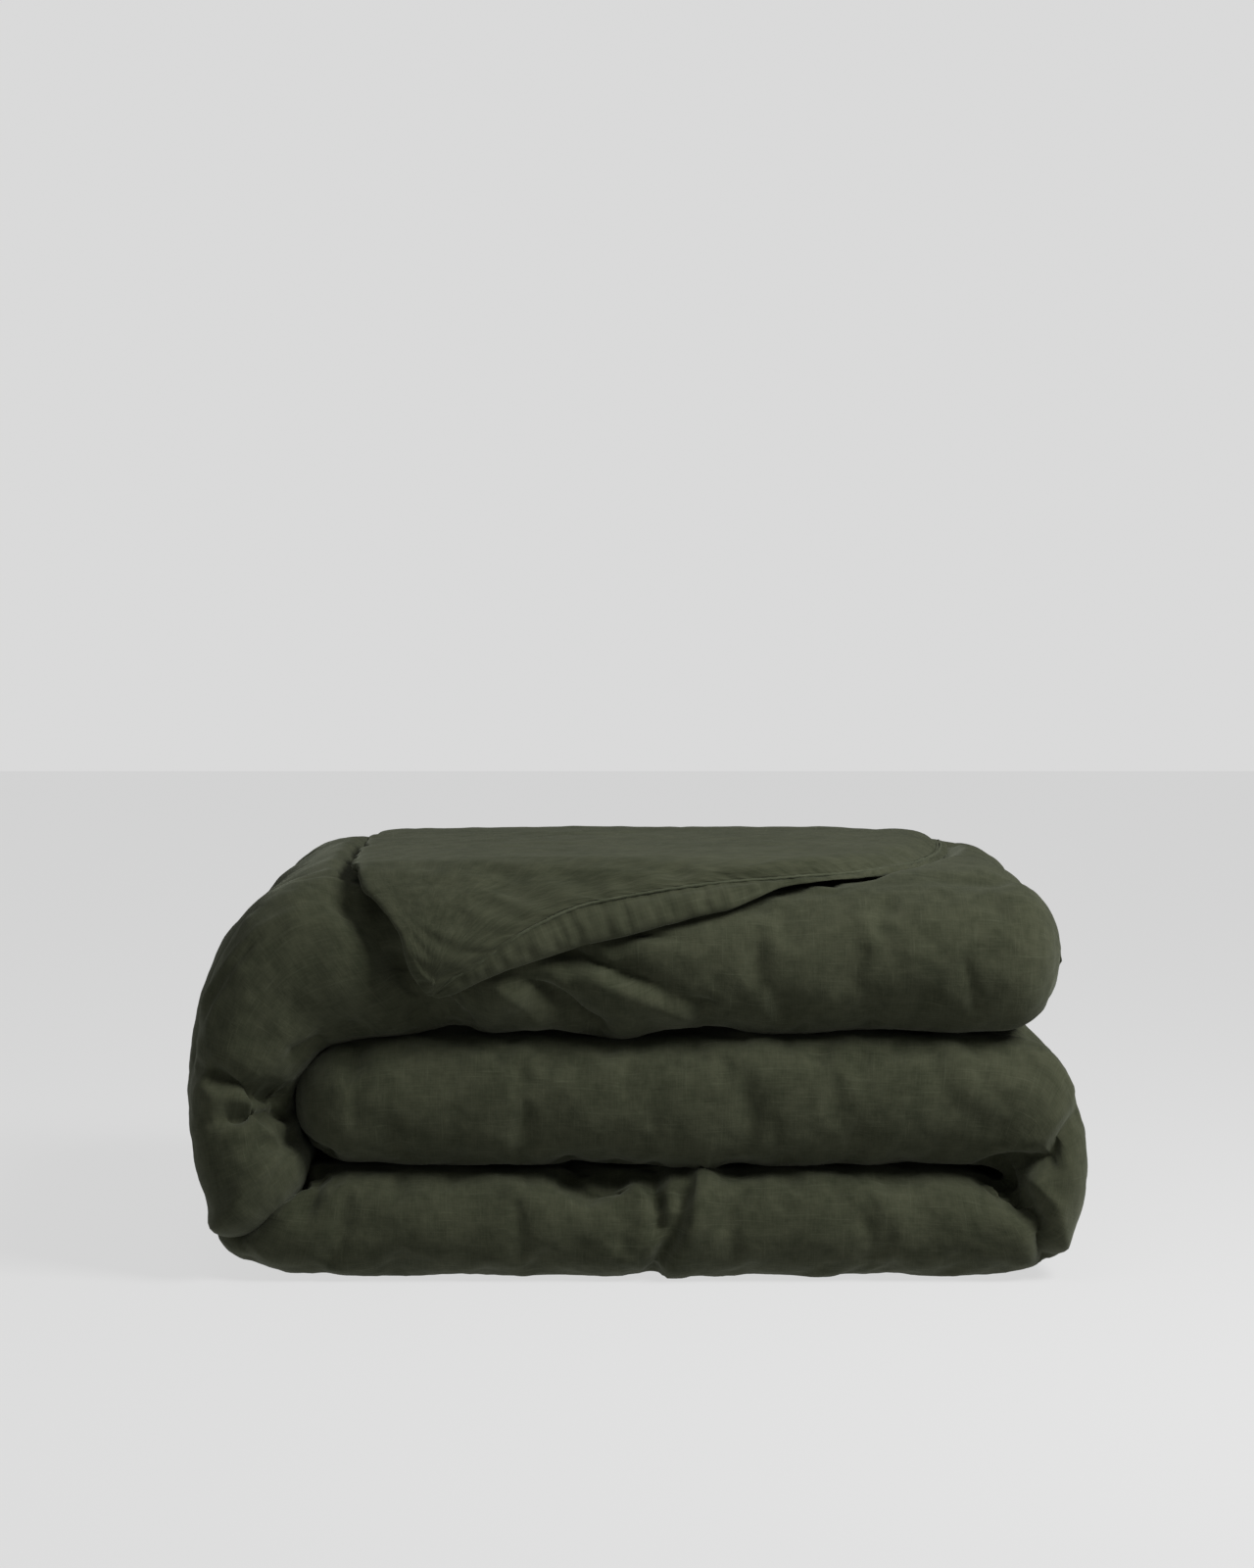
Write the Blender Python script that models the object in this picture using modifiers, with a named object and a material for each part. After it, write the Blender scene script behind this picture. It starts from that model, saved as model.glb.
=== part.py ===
"""A duvet in its linen cover, folded for the shelf.

The duvet is doubled and doubled again, so that it lies four plies thick with a closed roll at the front,
and is then letter-folded: the middle third lies on the bottom third, and the top third wraps round both.
One loose corner is drawn forward over the top and hangs down over the front roll.

X runs along the front, left to right, +Y to the back and +Z up. The origin is on the floor, under the middle.
"""

import math

import bmesh
import bpy
from mathutils import Matrix, Vector

# ---- Driving sizes, in metres ----
STACK_WIDTH = 0.760  # from the left fold's outer face to the right fold's
STACK_DEPTH = 0.540  # from the front roll to the edge of the button hem
PLY_PITCH = 0.0275  # one thickness of duvet, pressed by the plies on it
CLOTH = 0.0010  # linen cloth
PLY_GAP = 0.0008  # air between two plies
LEVEL_GAP = 0.0040  # air between two thirds
INSERT_GAP = 0.0004  # air between the cover and the insert in it
JOIN_GAP = 0.0004  # air between pieces that meet face to face
FOLD_SQUEEZE = 0.80  # a side fold's reach as a share of its round shape
END_GAP = 0.002  # air between the middle third's free end and the left fold round it
TOP_END_INSET = 0.022  # the top third ends this far short of the right fold

FOLD_BACK_INSET = 0.012  # the closed fold at the back stops this far short of the button hem
HEAD_INSET = 0.014  # and so does the sewn head edge
HEAD_SEAM_WIDTH = 0.008
HEAD_SEAM_THICK = 0.0022
BUTTON_HEM_WIDTH = 0.036
BUTTON_HEM_THICK = 0.0028

BUTTON_RADIUS = 0.0085
BUTTON_THICK = 0.0032
BUTTON_HOLE_RADIUS = 0.0011
BUTTON_HOLE_REACH = 0.0022  # of each hole from the middle, along X and along Y
BUTTON_SHARES = (0.25, 0.75)  # places of the buttons along a third's straight run

TIE_LENGTH = 0.024
TIE_HEIGHT = 0.008
TIE_WIDTH = 0.006
TIE_TAPE = 0.0012
FLAP_TIE_RISE = 0.020  # of the tie in the hanging corner above its tip
TIE_POCKET = 0.045  # the insert's corner is this much short of the cover's, both ways

LEAF_THICK = 0.0180  # the loose corner, where it lies on the top
LEAF_BACK_INSET = 0.097  # its back edge is this far in front of the button hem's
LEAF_LEFT_X = -0.33 * STACK_WIDTH
LEAF_RIGHT_X = 0.395 * STACK_WIDTH
LEAF_LIFT = 0.0012  # air under the loose corner
CREASE_LEFT_X = -0.312 * STACK_WIDTH  # the crease over which the corner hangs down
CREASE_RIGHT_X = 0.200 * STACK_WIDTH
CORNER_X = -0.222 * STACK_WIDTH
CORNER_DROP = 0.130  # from the crease to the corner, along the cloth
FLAP_THICK = 0.0120
FLAP_SEAM_WIDTH = 0.005
FLAP_SEAM_THICK = 0.0022
FLAP_INSERT_GAP = 0.0012  # air between the loose corner's cover and the insert in it
FLAP_EDGE_SLOPE = (0.908, 0.418)  # the long edge's way back over the top

# ---- Shape quality ----
FRONT_FACETS = 6  # in the half turn of the front roll
BACK_FACETS = 4  # and of the closed fold at the back
EDGE_FACETS = 3  # and of a ply's own edge
SIDE_FOLD_STEPS = 4  # in a quarter turn
BEND_STATIONS = 12  # where the hanging corner bends, in a quarter turn
BUTTON_FACETS = 16
HOLE_FACETS = 6
END_FACETS = 10
OVERCUT = 0.010  # how far a cutter runs past what it cuts

# ---- Sizes that follow ----
HALF_PLY = (PLY_PITCH - PLY_GAP) / 2
LEVEL = 3 * PLY_PITCH + 2 * HALF_PLY  # height of one folded third
LEVEL_STEP = LEVEL + LEVEL_GAP
TOP_Z = 2 * LEVEL_STEP + LEVEL  # top of the top third
LEFT_AXIS_Z = TOP_Z / 2
LEFT_AXIS_X = -STACK_WIDTH / 2 + LEFT_AXIS_Z * FOLD_SQUEEZE
RIGHT_AXIS_Z = LEVEL + LEVEL_GAP / 2
RIGHT_AXIS_X = STACK_WIDTH / 2 - RIGHT_AXIS_Z * FOLD_SQUEEZE
FRONT_ROLL = LEVEL / 2  # outer radius of the front roll
FLAP_RADIUS = FRONT_ROLL + LEAF_LIFT
HEM_EDGE_Y = (STACK_DEPTH + LEAF_LIFT + FLAP_THICK) / 2  # the corner that hangs in front counts in the middle
FRONT_Y = HEM_EDGE_Y - STACK_DEPTH + FRONT_ROLL  # where the plies start to bend at the front
BACK_Y = HEM_EDGE_Y - FOLD_BACK_INSET - PLY_PITCH / 2 - HALF_PLY
HEAD_Y = HEM_EDGE_Y - HEAD_INSET - HALF_PLY
FOOT_Y = HEM_EDGE_Y - BUTTON_HEM_WIDTH - JOIN_GAP - HALF_PLY
PLY_W = [HALF_PLY + i * PLY_PITCH for i in range(4)]  # ply centres above a third's underside
MID_W = LEVEL / 2
END_REACH = FOLD_SQUEEZE * (LEFT_AXIS_Z - LEVEL) - END_GAP  # how far a free end bulges past its straight run
BACK_FOLD_W = (PLY_W[2] + PLY_W[3]) / 2
INSERT_HALF = HALF_PLY - CLOTH - INSERT_GAP
TOP_END_AXIS_X = STACK_WIDTH / 2 - TOP_END_INSET - END_REACH
FLAP_QUARTER = FLAP_RADIUS * math.pi / 2
ROLL_Z = TOP_Z - FRONT_ROLL
CORNER_Z = ROLL_Z - (CORNER_DROP - FLAP_QUARTER)
LEAF_TOP_Z = TOP_Z + LEAF_LIFT + LEAF_THICK

# ---- Finishes: colour, roughness, metallic ----
FINISHES = {
    "cover_linen": ((0.040, 0.043, 0.026, 1.0), 0.92, 0.0),
    "insert_shell": ((0.80, 0.79, 0.76, 1.0), 0.85, 0.0),
    "seam_linen": ((0.034, 0.037, 0.022, 1.0), 0.92, 0.0),
    "button_shell": ((0.060, 0.050, 0.034, 1.0), 0.45, 0.0),
    "tie_tape": ((0.55, 0.54, 0.50, 1.0), 0.90, 0.0),
}

# A section lies in the YZ plane, and its third runs along X: local x, y and z are the row's Y, Z and X.
SECTION_TURN = Matrix(((0, 0, 1), (1, 0, 0), (0, 1, 0))).to_4x4()


# ---- Scene and object helpers ----
def clear_scene():
    for old in list(bpy.data.objects):
        bpy.data.objects.remove(old, do_unlink=True)


def new_collection(name):
    made = bpy.data.collections.new(name)
    bpy.context.scene.collection.children.link(made)
    return made


def finish_of(name):
    found = bpy.data.materials.get(name)
    if found:
        return found
    colour, roughness, metallic = FINISHES[name]
    made = bpy.data.materials.new(name)
    made.use_nodes = True
    shader = made.node_tree.nodes["Principled BSDF"]
    shader.inputs["Base Color"].default_value = colour
    shader.inputs["Roughness"].default_value = roughness
    shader.inputs["Metallic"].default_value = metallic
    made.diffuse_color = colour
    return made


def hinge_empty(name, place):
    empty = bpy.data.objects.new(name, None)
    empty.location = place
    parts.objects.link(empty)
    return empty


def place_part(obj, finish, parent=None):
    """Gives a finished mesh its material, its smooth shading and the empty that it turns with."""
    obj.data.materials.clear()
    obj.data.materials.append(finish_of(finish))
    obj.data.shade_smooth()
    obj.data.set_sharp_from_angle(angle=math.radians(40))
    if parent:
        bpy.context.view_layer.update()
        obj.parent = parent
        obj.matrix_parent_inverse = parent.matrix_world.inverted()
    return obj


def as_cutter(obj):
    parts.objects.unlink(obj)
    cutters.objects.link(obj)
    obj.hide_render = True
    obj.display_type = "WIRE"
    return obj


def cut(obj, cutter, operation="DIFFERENCE"):
    modifier = obj.modifiers.new(operation.lower(), "BOOLEAN")
    modifier.operation = operation
    modifier.solver = "EXACT"
    modifier.object = cutter


# ---- Flat outlines ----
def arc(centre, radius, start, end, facets):
    """Points round centre from the start angle to the end angle, in degrees, both ends included."""
    turn = [math.radians(start + (end - start) * i / facets) for i in range(facets + 1)]
    return [(centre[0] + radius * math.cos(a), centre[1] + radius * math.sin(a)) for a in turn]


def ply_outline(half):
    """The four-ply strip in section, half to each side of its centre line: head edge, front roll, back fold, foot edge."""
    front, back = (FRONT_Y, MID_W), (BACK_Y, BACK_FOLD_W)
    wide, narrow = 1.5 * PLY_PITCH, 0.5 * PLY_PITCH
    return [
        *arc(front, wide + half, 270, 90, FRONT_FACETS),
        *arc(back, narrow + half, 90, -90, BACK_FACETS),
        *arc(front, narrow - half, 90, 270, FRONT_FACETS),
        *arc((FOOT_Y, PLY_W[1]), half, 90, -90, EDGE_FACETS),
        *arc(front, narrow + half, 270, 90, FRONT_FACETS),
        *arc(back, narrow - half, -90, 90, BACK_FACETS),
        *arc(front, wide - half, 90, 270, FRONT_FACETS),
        *arc((HEAD_Y, PLY_W[0]), half, 90, -90, EDGE_FACETS),
    ]


def edge_strip(start_y, width, thick, w):
    """A flat band behind a ply's edge, in section."""
    low, high, end_y = w - thick / 2, w + thick / 2, start_y + width
    return [(start_y, low), (end_y, low), (end_y, high), (start_y, high)]


def upside_down(outline):
    """The section of a third that a side fold has turned over."""
    return [(y, LEVEL - w) for y, w in outline]


def inset(outline, distance):
    """A convex outline that runs anticlockwise, moved inwards."""
    moved = []
    for before, here, after in zip(outline[-1:] + outline[:-1], outline, outline[1:] + outline[:1]):
        arriving = (Vector(here) - Vector(before)).normalized()
        leaving = (Vector(after) - Vector(here)).normalized()
        inward_a, inward_b = Vector((-arriving.y, arriving.x)), Vector((-leaving.y, leaving.x))
        moved.append(tuple(Vector(here) + (inward_a + inward_b) * distance / (1 + inward_a.dot(inward_b))))
    return moved


def outline_mesh(name, outlines, half_thickness=0.0):
    """A mesh of closed flat outlines in local XY, the later ones as holes in the first, with that half thickness."""
    curve = bpy.data.curves.new(name + "_outline", "CURVE")
    curve.dimensions = "2D"
    curve.fill_mode = "BOTH"
    curve.extrude = half_thickness
    for outline in outlines:
        spline = curve.splines.new("POLY")
        spline.points.add(len(outline) - 1)
        for point, (x, y) in zip(spline.points, outline):
            point.co = (x, y, 0, 1)
        spline.use_cyclic_u = True
    holder = bpy.data.objects.new(name + "_outline", curve)
    parts.objects.link(holder)
    bpy.context.view_layer.update()
    mesh = bpy.data.meshes.new_from_object(holder.evaluated_get(bpy.context.evaluated_depsgraph_get()))
    mesh.name = name
    bpy.data.objects.remove(holder)
    return rebuilt(mesh, weld)


def rebuilt(mesh, change, *values):
    """Runs one change on a mesh, with bmesh, and turns its faces out."""
    bm = bmesh.new()
    bm.from_mesh(mesh)
    change(bm, *values)
    bmesh.ops.recalc_face_normals(bm, faces=bm.faces)
    if bm.calc_volume(signed=True) < 0:
        bmesh.ops.reverse_faces(bm, faces=bm.faces)
    bm.to_mesh(mesh)
    bm.free()
    return mesh


def weld(bm):
    bmesh.ops.remove_doubles(bm, verts=bm.verts, dist=1e-6)


def new_object(name, mesh):
    obj = bpy.data.objects.new(name, mesh)
    parts.objects.link(obj)
    return obj


# ---- Pieces of a third ----
def straight_run(name, outlines, x_from, x_to, level_z):
    """A section drawn out along X."""
    obj = new_object(name, outline_mesh(name, outlines, (x_to - x_from) / 2))
    obj.matrix_world = Matrix.Translation(((x_from + x_to) / 2, 0, level_z)) @ SECTION_TURN
    return obj


def side_fold(name, outlines, level_z, axis_x, axis_z, degrees):
    """A section swung round an axis along Y, and pressed towards it by FOLD_SQUEEZE. A positive angle swings to the left."""

    def swing(bm):
        bmesh.ops.transform(bm, matrix=Matrix.Translation((0, 0, level_z - axis_z)) @ SECTION_TURN, verts=bm.verts)
        steps = max(1, round(abs(degrees) / 90 * SIDE_FOLD_STEPS))
        bmesh.ops.spin(
            bm, geom=bm.verts[:] + bm.edges[:] + bm.faces[:], cent=(0, 0, 0), axis=(0, 1, 0),
            angle=math.radians(degrees), steps=steps, use_duplicate=False,
        )
        weld(bm)
        bmesh.ops.scale(bm, vec=(FOLD_SQUEEZE, 1, 1), verts=bm.verts)

    obj = new_object(name, rebuilt(outline_mesh(name, outlines), swing))
    obj.location = (axis_x, 0, axis_z)
    return obj


def end_rounder(name, axis_x, outward, centre_z, inset_by):
    """A block as long as a third, with the rounded nose that its free end has. outward is -1 for a left end."""
    nose_x, nose_z = END_REACH - inset_by, (MID_W - inset_by) * 1.02
    turn = [math.radians(-90 + 180 * i / END_FACETS) for i in range(END_FACETS + 1)]
    outline = [(axis_x + outward * nose_x * math.cos(a), nose_z * math.sin(a)) for a in turn]
    far_x = axis_x - outward * STACK_WIDTH
    outline += [(far_x, nose_z), (far_x, -nose_z)]
    obj = new_object(name, outline_mesh(name, [outline], STACK_DEPTH))
    obj.matrix_world = Matrix.Translation((0, 0, centre_z)) @ Matrix.Rotation(math.radians(90), 4, "X")
    return as_cutter(obj)


def free_third(third, level_z, fold_x, end_axis_x, parent):
    """The cover and insert of a third with a closed end past end_axis_x. Its other end meets a side fold at fold_x."""
    outward = 1 if end_axis_x > fold_x else -1
    start_x, tip_x = fold_x + outward * JOIN_GAP, end_axis_x + outward * (END_REACH + OVERCUT)
    open_x = start_x - outward * OVERCUT  # the hollow runs out of the open end
    centre_z = level_z + MID_W

    def run(name, half, from_x):
        return straight_run(name, [upside_down(ply_outline(half))], min(from_x, tip_x), max(from_x, tip_x), level_z)

    hollow = as_cutter(run(f"hollow_{third}", HALF_PLY - CLOTH, open_x))
    cut(hollow, end_rounder(f"hollow_nose_{third}", end_axis_x, outward, centre_z, CLOTH), "INTERSECT")
    cover = run(f"cover_{third}_third", HALF_PLY, start_x)
    cut(cover, end_rounder(f"cover_nose_{third}", end_axis_x, outward, centre_z, 0), "INTERSECT")
    cut(cover, hollow)
    insert = run(f"insert_{third}_third", INSERT_HALF, start_x)
    cut(insert, end_rounder(f"insert_nose_{third}", end_axis_x, outward, centre_z, CLOTH + INSERT_GAP), "INTERSECT")
    for edge, (edge_y, w) in {"head": (HEAD_Y, PLY_W[0]), "foot": (FOOT_Y, PLY_W[1])}.items():
        cut(insert, tie_pocket(f"tie_pocket_{third}_{edge}", end_axis_x, outward, edge_y, level_z + LEVEL - w))
    place_part(cover, "cover_linen", parent)
    place_part(insert, "insert_shell", parent)


def block_cutter(name, low, high):
    """A block between two corners, in the row's own axes."""
    bpy.ops.mesh.primitive_cube_add(size=1)
    block = bpy.context.object
    block.name = name
    move_to(block, parts)
    block.scale = [b - a for a, b in zip(low, high)]
    block.location = [(a + b) / 2 for a, b in zip(low, high)]
    return as_cutter(block)


def tie_pocket(name, end_axis_x, outward, edge_y, z):
    """The room for a tie at an insert's corner: past its end and its edge, and as high as its ply."""
    near_x = end_axis_x - outward * (TIE_POCKET - END_REACH + TIE_LENGTH)
    far_x = end_axis_x + outward * (END_REACH + OVERCUT)
    low = (min(near_x, far_x), edge_y - TIE_POCKET, z - PLY_PITCH / 2)
    high = (max(near_x, far_x), edge_y + HALF_PLY + OVERCUT, z + PLY_PITCH / 2)
    return block_cutter(name, low, high)


def move_to(obj, collection):
    for other in list(obj.users_collection):
        other.objects.unlink(obj)
    collection.objects.link(obj)


def section_parts():
    """What runs the duvet's whole width, in section: name start, finish, outlines."""
    head_y, foot_y = HEAD_Y + HALF_PLY + JOIN_GAP, FOOT_Y + HALF_PLY + JOIN_GAP
    return [
        ("cover", "cover_linen", [ply_outline(HALF_PLY), ply_outline(HALF_PLY - CLOTH)]),
        ("insert", "insert_shell", [ply_outline(INSERT_HALF)]),
        ("head_seam", "seam_linen", [edge_strip(head_y, HEAD_SEAM_WIDTH, HEAD_SEAM_THICK, PLY_W[0])]),
        ("button_hem", "cover_linen", [edge_strip(foot_y, BUTTON_HEM_WIDTH, BUTTON_HEM_THICK, PLY_W[1])]),
    ]


def folded_strip(top_hinge):
    """The duvet from the middle third, round the right fold, along the bottom and round the left fold to the top."""
    middle_z, top_z = LEVEL_STEP, 2 * LEVEL_STEP
    near_left, near_right = LEFT_AXIS_X + JOIN_GAP, RIGHT_AXIS_X - JOIN_GAP
    quarter = 90 - math.degrees(JOIN_GAP / (LEFT_AXIS_Z - LEVEL))
    for start, finish, outlines in section_parts():
        turned = [upside_down(o) for o in outlines]
        place_part(straight_run(f"{start}_bottom_third", outlines, near_left, near_right, 0), finish)
        place_part(side_fold(f"{start}_right_fold", outlines, 0, RIGHT_AXIS_X, RIGHT_AXIS_Z, -180), finish)
        place_part(side_fold(f"{start}_left_fold_lower", outlines, 0, LEFT_AXIS_X, LEFT_AXIS_Z, quarter), finish)
        upper = side_fold(f"{start}_left_fold_upper", turned, top_z, LEFT_AXIS_X, LEFT_AXIS_Z, -quarter)
        place_part(upper, finish, top_hinge)
        if start in ("head_seam", "button_hem"):  # the free thirds' covers and inserts have a closed end
            run = straight_run(f"{start}_middle_third", turned, LEFT_AXIS_X, near_right, middle_z)
            place_part(run, finish)
            run = straight_run(f"{start}_top_third", turned, near_left, TOP_END_AXIS_X, top_z)
            place_part(run, finish, top_hinge)
    free_third("middle", middle_z, RIGHT_AXIS_X, LEFT_AXIS_X, None)
    free_third("top", top_z, LEFT_AXIS_X, TOP_END_AXIS_X, top_hinge)


# ---- Buttons and ties ----
def button_mesh():
    bpy.ops.mesh.primitive_cylinder_add(vertices=BUTTON_FACETS, radius=BUTTON_RADIUS, depth=BUTTON_THICK)
    blank = bpy.context.object
    rim = blank.modifiers.new("rim", "BEVEL")
    rim.width = BUTTON_THICK / 4
    rim.segments = 1
    rim.limit_method = "ANGLE"
    for k in range(4):
        bpy.ops.mesh.primitive_cylinder_add(vertices=HOLE_FACETS, radius=BUTTON_HOLE_RADIUS, depth=2 * BUTTON_THICK)
        hole = bpy.context.object
        side_x, side_y = (1, -1)[k % 2], (1, -1)[k // 2]
        hole.location = (side_x * BUTTON_HOLE_REACH, side_y * BUTTON_HOLE_REACH, 0)
        move_to(hole, parts)
        cut(blank, as_cutter(hole))
    bpy.context.view_layer.update()
    mesh = bpy.data.meshes.new_from_object(blank.evaluated_get(bpy.context.evaluated_depsgraph_get()))
    mesh.name = "button"
    bpy.data.objects.remove(blank)
    return mesh


def buttons(top_hinge):
    """Two buttons on each third's hem, on the side that faces up once the third is turned over."""
    mesh = button_mesh()
    y = HEM_EDGE_Y - BUTTON_HEM_WIDTH / 2
    offset = BUTTON_HEM_THICK / 2 + JOIN_GAP + BUTTON_THICK / 2
    rows = {
        "bottom": (PLY_W[1] - offset, None),
        "middle": (LEVEL_STEP + LEVEL - PLY_W[1] + offset, None),
        "top": (2 * LEVEL_STEP + LEVEL - PLY_W[1] + offset, top_hinge),
    }
    for third, (z, parent) in rows.items():
        for number, share in enumerate(BUTTON_SHARES, 1):
            button = new_object(f"button_{third}_{number}", mesh)
            button.location = (LEFT_AXIS_X + share * (RIGHT_AXIS_X - LEFT_AXIS_X), y, z)
            place_part(button, "button_shell", parent)


def tie_mesh():
    """A loop of tape on edge: a flat ring, TIE_WIDTH wide."""
    outer = [(x * TIE_LENGTH / 2, y * TIE_HEIGHT / 2) for x, y in ((-1, -1), (1, -1), (1, 1), (-1, 1))]
    return outline_mesh("corner_tie", [outer, inset(outer, TIE_TAPE)], TIE_WIDTH / 2)


def corner_ties(top_hinge, flap_hinge):
    """The tape loops that hold the insert's corners in the cover's: three in the stack, and one in the hanging corner."""
    mesh = tie_mesh()
    back = TIE_POCKET / 2
    places = {
        "middle_head": (LEFT_AXIS_X, HEAD_Y - back, LEVEL_STEP + LEVEL - PLY_W[0], None),
        "middle_foot": (LEFT_AXIS_X, FOOT_Y - back, LEVEL_STEP + LEVEL - PLY_W[1], None),
        "top_foot": (TOP_END_AXIS_X, FOOT_Y - back, 2 * LEVEL_STEP + LEVEL - PLY_W[1], top_hinge),
    }
    for corner, (x, y, z, parent) in places.items():
        tie = new_object(f"corner_tie_{corner}", mesh)
        tie.location = (x, y, z)
        place_part(tie, "tie_tape", parent)
    tie = new_object("corner_tie_flap", mesh)
    share = FLAP_TIE_RISE / CORNER_DROP
    x = CORNER_X + share * ((CREASE_LEFT_X + CREASE_RIGHT_X) / 2 - CORNER_X)
    tie.location = (x, FRONT_Y - FLAP_RADIUS - FLAP_THICK / 2, CORNER_Z + FLAP_TIE_RISE)
    place_part(tie, "tie_tape", flap_hinge)


# ---- The loose corner ----
def over_the_roll(point):
    """(along the crease, down from the crease, out from the cloth) to the row's place: flat on the top, then round the roll."""
    u, v, n = point
    if v <= 0:
        return Vector((u, FRONT_Y - v, ROLL_Z + FLAP_RADIUS + n))
    if v >= FLAP_QUARTER:
        return Vector((u, FRONT_Y - FLAP_RADIUS - n, ROLL_Z - (v - FLAP_QUARTER)))
    turn = v / FLAP_RADIUS
    reach = FLAP_RADIUS + n
    return Vector((u, FRONT_Y - reach * math.sin(turn), ROLL_Z + reach * math.cos(turn)))


def bent_panel(name, outline, low, high):
    """A flat panel from low to high off the cloth, laid over the front roll."""

    def lay(bm):
        bmesh.ops.translate(bm, vec=(0, 0, (low + high) / 2), verts=bm.verts)
        for k in range(BEND_STATIONS + 1):
            everything = bm.verts[:] + bm.edges[:] + bm.faces[:]
            station = (0, FLAP_QUARTER * k / BEND_STATIONS, 0)
            bmesh.ops.bisect_plane(bm, geom=everything, plane_co=station, plane_no=(0, 1, 0))
        for vert in bm.verts:
            vert.co = over_the_roll(vert.co)

    return new_object(name, rebuilt(outline_mesh(name, [outline], (high - low) / 2), lay))


def shell_panel(name, outline, open_outline, thick, parent):
    """A bag of cloth in the shape of a panel, and the hollow in it, which runs out of its open side."""
    cover = bent_panel(name, outline, 0, thick)
    cut(cover, as_cutter(bent_panel(name + "_hollow", open_outline, CLOTH, thick - CLOTH)))
    place_part(cover, "cover_linen", parent)


def opened(outline, v_limit, v_open):
    """The outline with the side that lies at v_limit moved out to v_open."""
    return [(u, v_open if abs(v - v_limit) < 1e-9 else v) for u, v in outline]


def corner_leaf(top_hinge):
    """The loose corner where it lies on the top third. In these outlines v is negative: it runs forwards."""
    long_rise = (LEAF_RIGHT_X - CREASE_RIGHT_X) * FLAP_EDGE_SLOPE[1] / FLAP_EDGE_SLOPE[0]
    short_rise = (CREASE_LEFT_X - LEAF_LEFT_X) * FLAP_EDGE_SLOPE[0] / FLAP_EDGE_SLOPE[1]
    back_v = FRONT_Y - (HEM_EDGE_Y - LEAF_BACK_INSET)
    outline = [
        (CREASE_RIGHT_X, -JOIN_GAP),
        (CREASE_LEFT_X, -JOIN_GAP),
        (LEAF_LEFT_X, -short_rise),
        (LEAF_LEFT_X, back_v),
        (LEAF_RIGHT_X, back_v),
        (LEAF_RIGHT_X, -long_rise),
    ]
    inner = opened(inset(outline, CLOTH), -JOIN_GAP - CLOTH, OVERCUT)
    shell_panel("cover_loose_corner", outline, inner, LEAF_THICK, top_hinge)
    spare = CLOTH + FLAP_INSERT_GAP
    insert = bent_panel("insert_loose_corner", inset(outline, spare), spare, LEAF_THICK - spare)
    place_part(insert, "insert_shell", top_hinge)


def corner_flap(flap_hinge):
    """The loose corner where it hangs down over the front: cover, insert and the sewn edge."""
    outline = [(CREASE_LEFT_X, JOIN_GAP), (CREASE_RIGHT_X, JOIN_GAP), (CORNER_X, CORNER_DROP)]
    inner = inset(outline, CLOTH)
    left_run, right_run = Vector(inner[0]) - Vector(inner[2]), Vector(inner[1]) - Vector(inner[2])
    past = 1 + OVERCUT / CORNER_DROP
    hollow = [tuple(Vector(inner[2]) + run * past) for run in (left_run, right_run)] + [inner[2]]
    shell_panel("cover_corner_flap", outline, hollow, FLAP_THICK, flap_hinge)

    spare = CLOTH + FLAP_INSERT_GAP
    insert = bent_panel("insert_corner_flap", inset(outline, spare), spare, FLAP_THICK - spare)
    low = (-STACK_WIDTH / 2, FRONT_Y - FLAP_RADIUS - 2 * FLAP_THICK, CORNER_Z - OVERCUT)
    high = (STACK_WIDTH / 2, FRONT_Y - FLAP_RADIUS + 2 * FLAP_THICK, CORNER_Z + FLAP_TIE_RISE + TIE_WIDTH)
    cut(insert, block_cutter("tie_pocket_flap", low, high))
    place_part(insert, "insert_shell", flap_hinge)

    near, far = inset(outline, -JOIN_GAP), inset(outline, -JOIN_GAP - FLAP_SEAM_WIDTH)
    v_top = 2 * JOIN_GAP
    seam_outline = [
        on_line(far[0], far[2], v_top), far[2], on_line(far[1], far[2], v_top),
        on_line(near[1], near[2], v_top), near[2], on_line(near[0], near[2], v_top),
    ]
    middle = FLAP_THICK / 2
    seam = bent_panel("corner_flap_seam", seam_outline, middle - FLAP_SEAM_THICK / 2, middle + FLAP_SEAM_THICK / 2)
    place_part(seam, "seam_linen", flap_hinge)


def on_line(a, b, v):
    """The point at v on the line through two points of an outline."""
    share = (v - a[1]) / (b[1] - a[1])
    return (a[0] + share * (b[0] - a[0]), v)


clear_scene()
parts = new_collection("folded_duvet")
cutters = new_collection("cutters")
top_hinge = hinge_empty("top_third_hinge", (-STACK_WIDTH / 2, 0, LEFT_AXIS_Z))
flap_hinge = hinge_empty("corner_flap_hinge", (0, FRONT_Y, LEAF_TOP_Z))
folded_strip(top_hinge)
buttons(top_hinge)
corner_ties(top_hinge, flap_hinge)
corner_leaf(top_hinge)
corner_flap(flap_hinge)
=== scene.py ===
import math

import bmesh
import bpy
import numpy as np
from mathutils import Matrix, Vector
from mathutils.bvhtree import BVHTree


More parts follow.
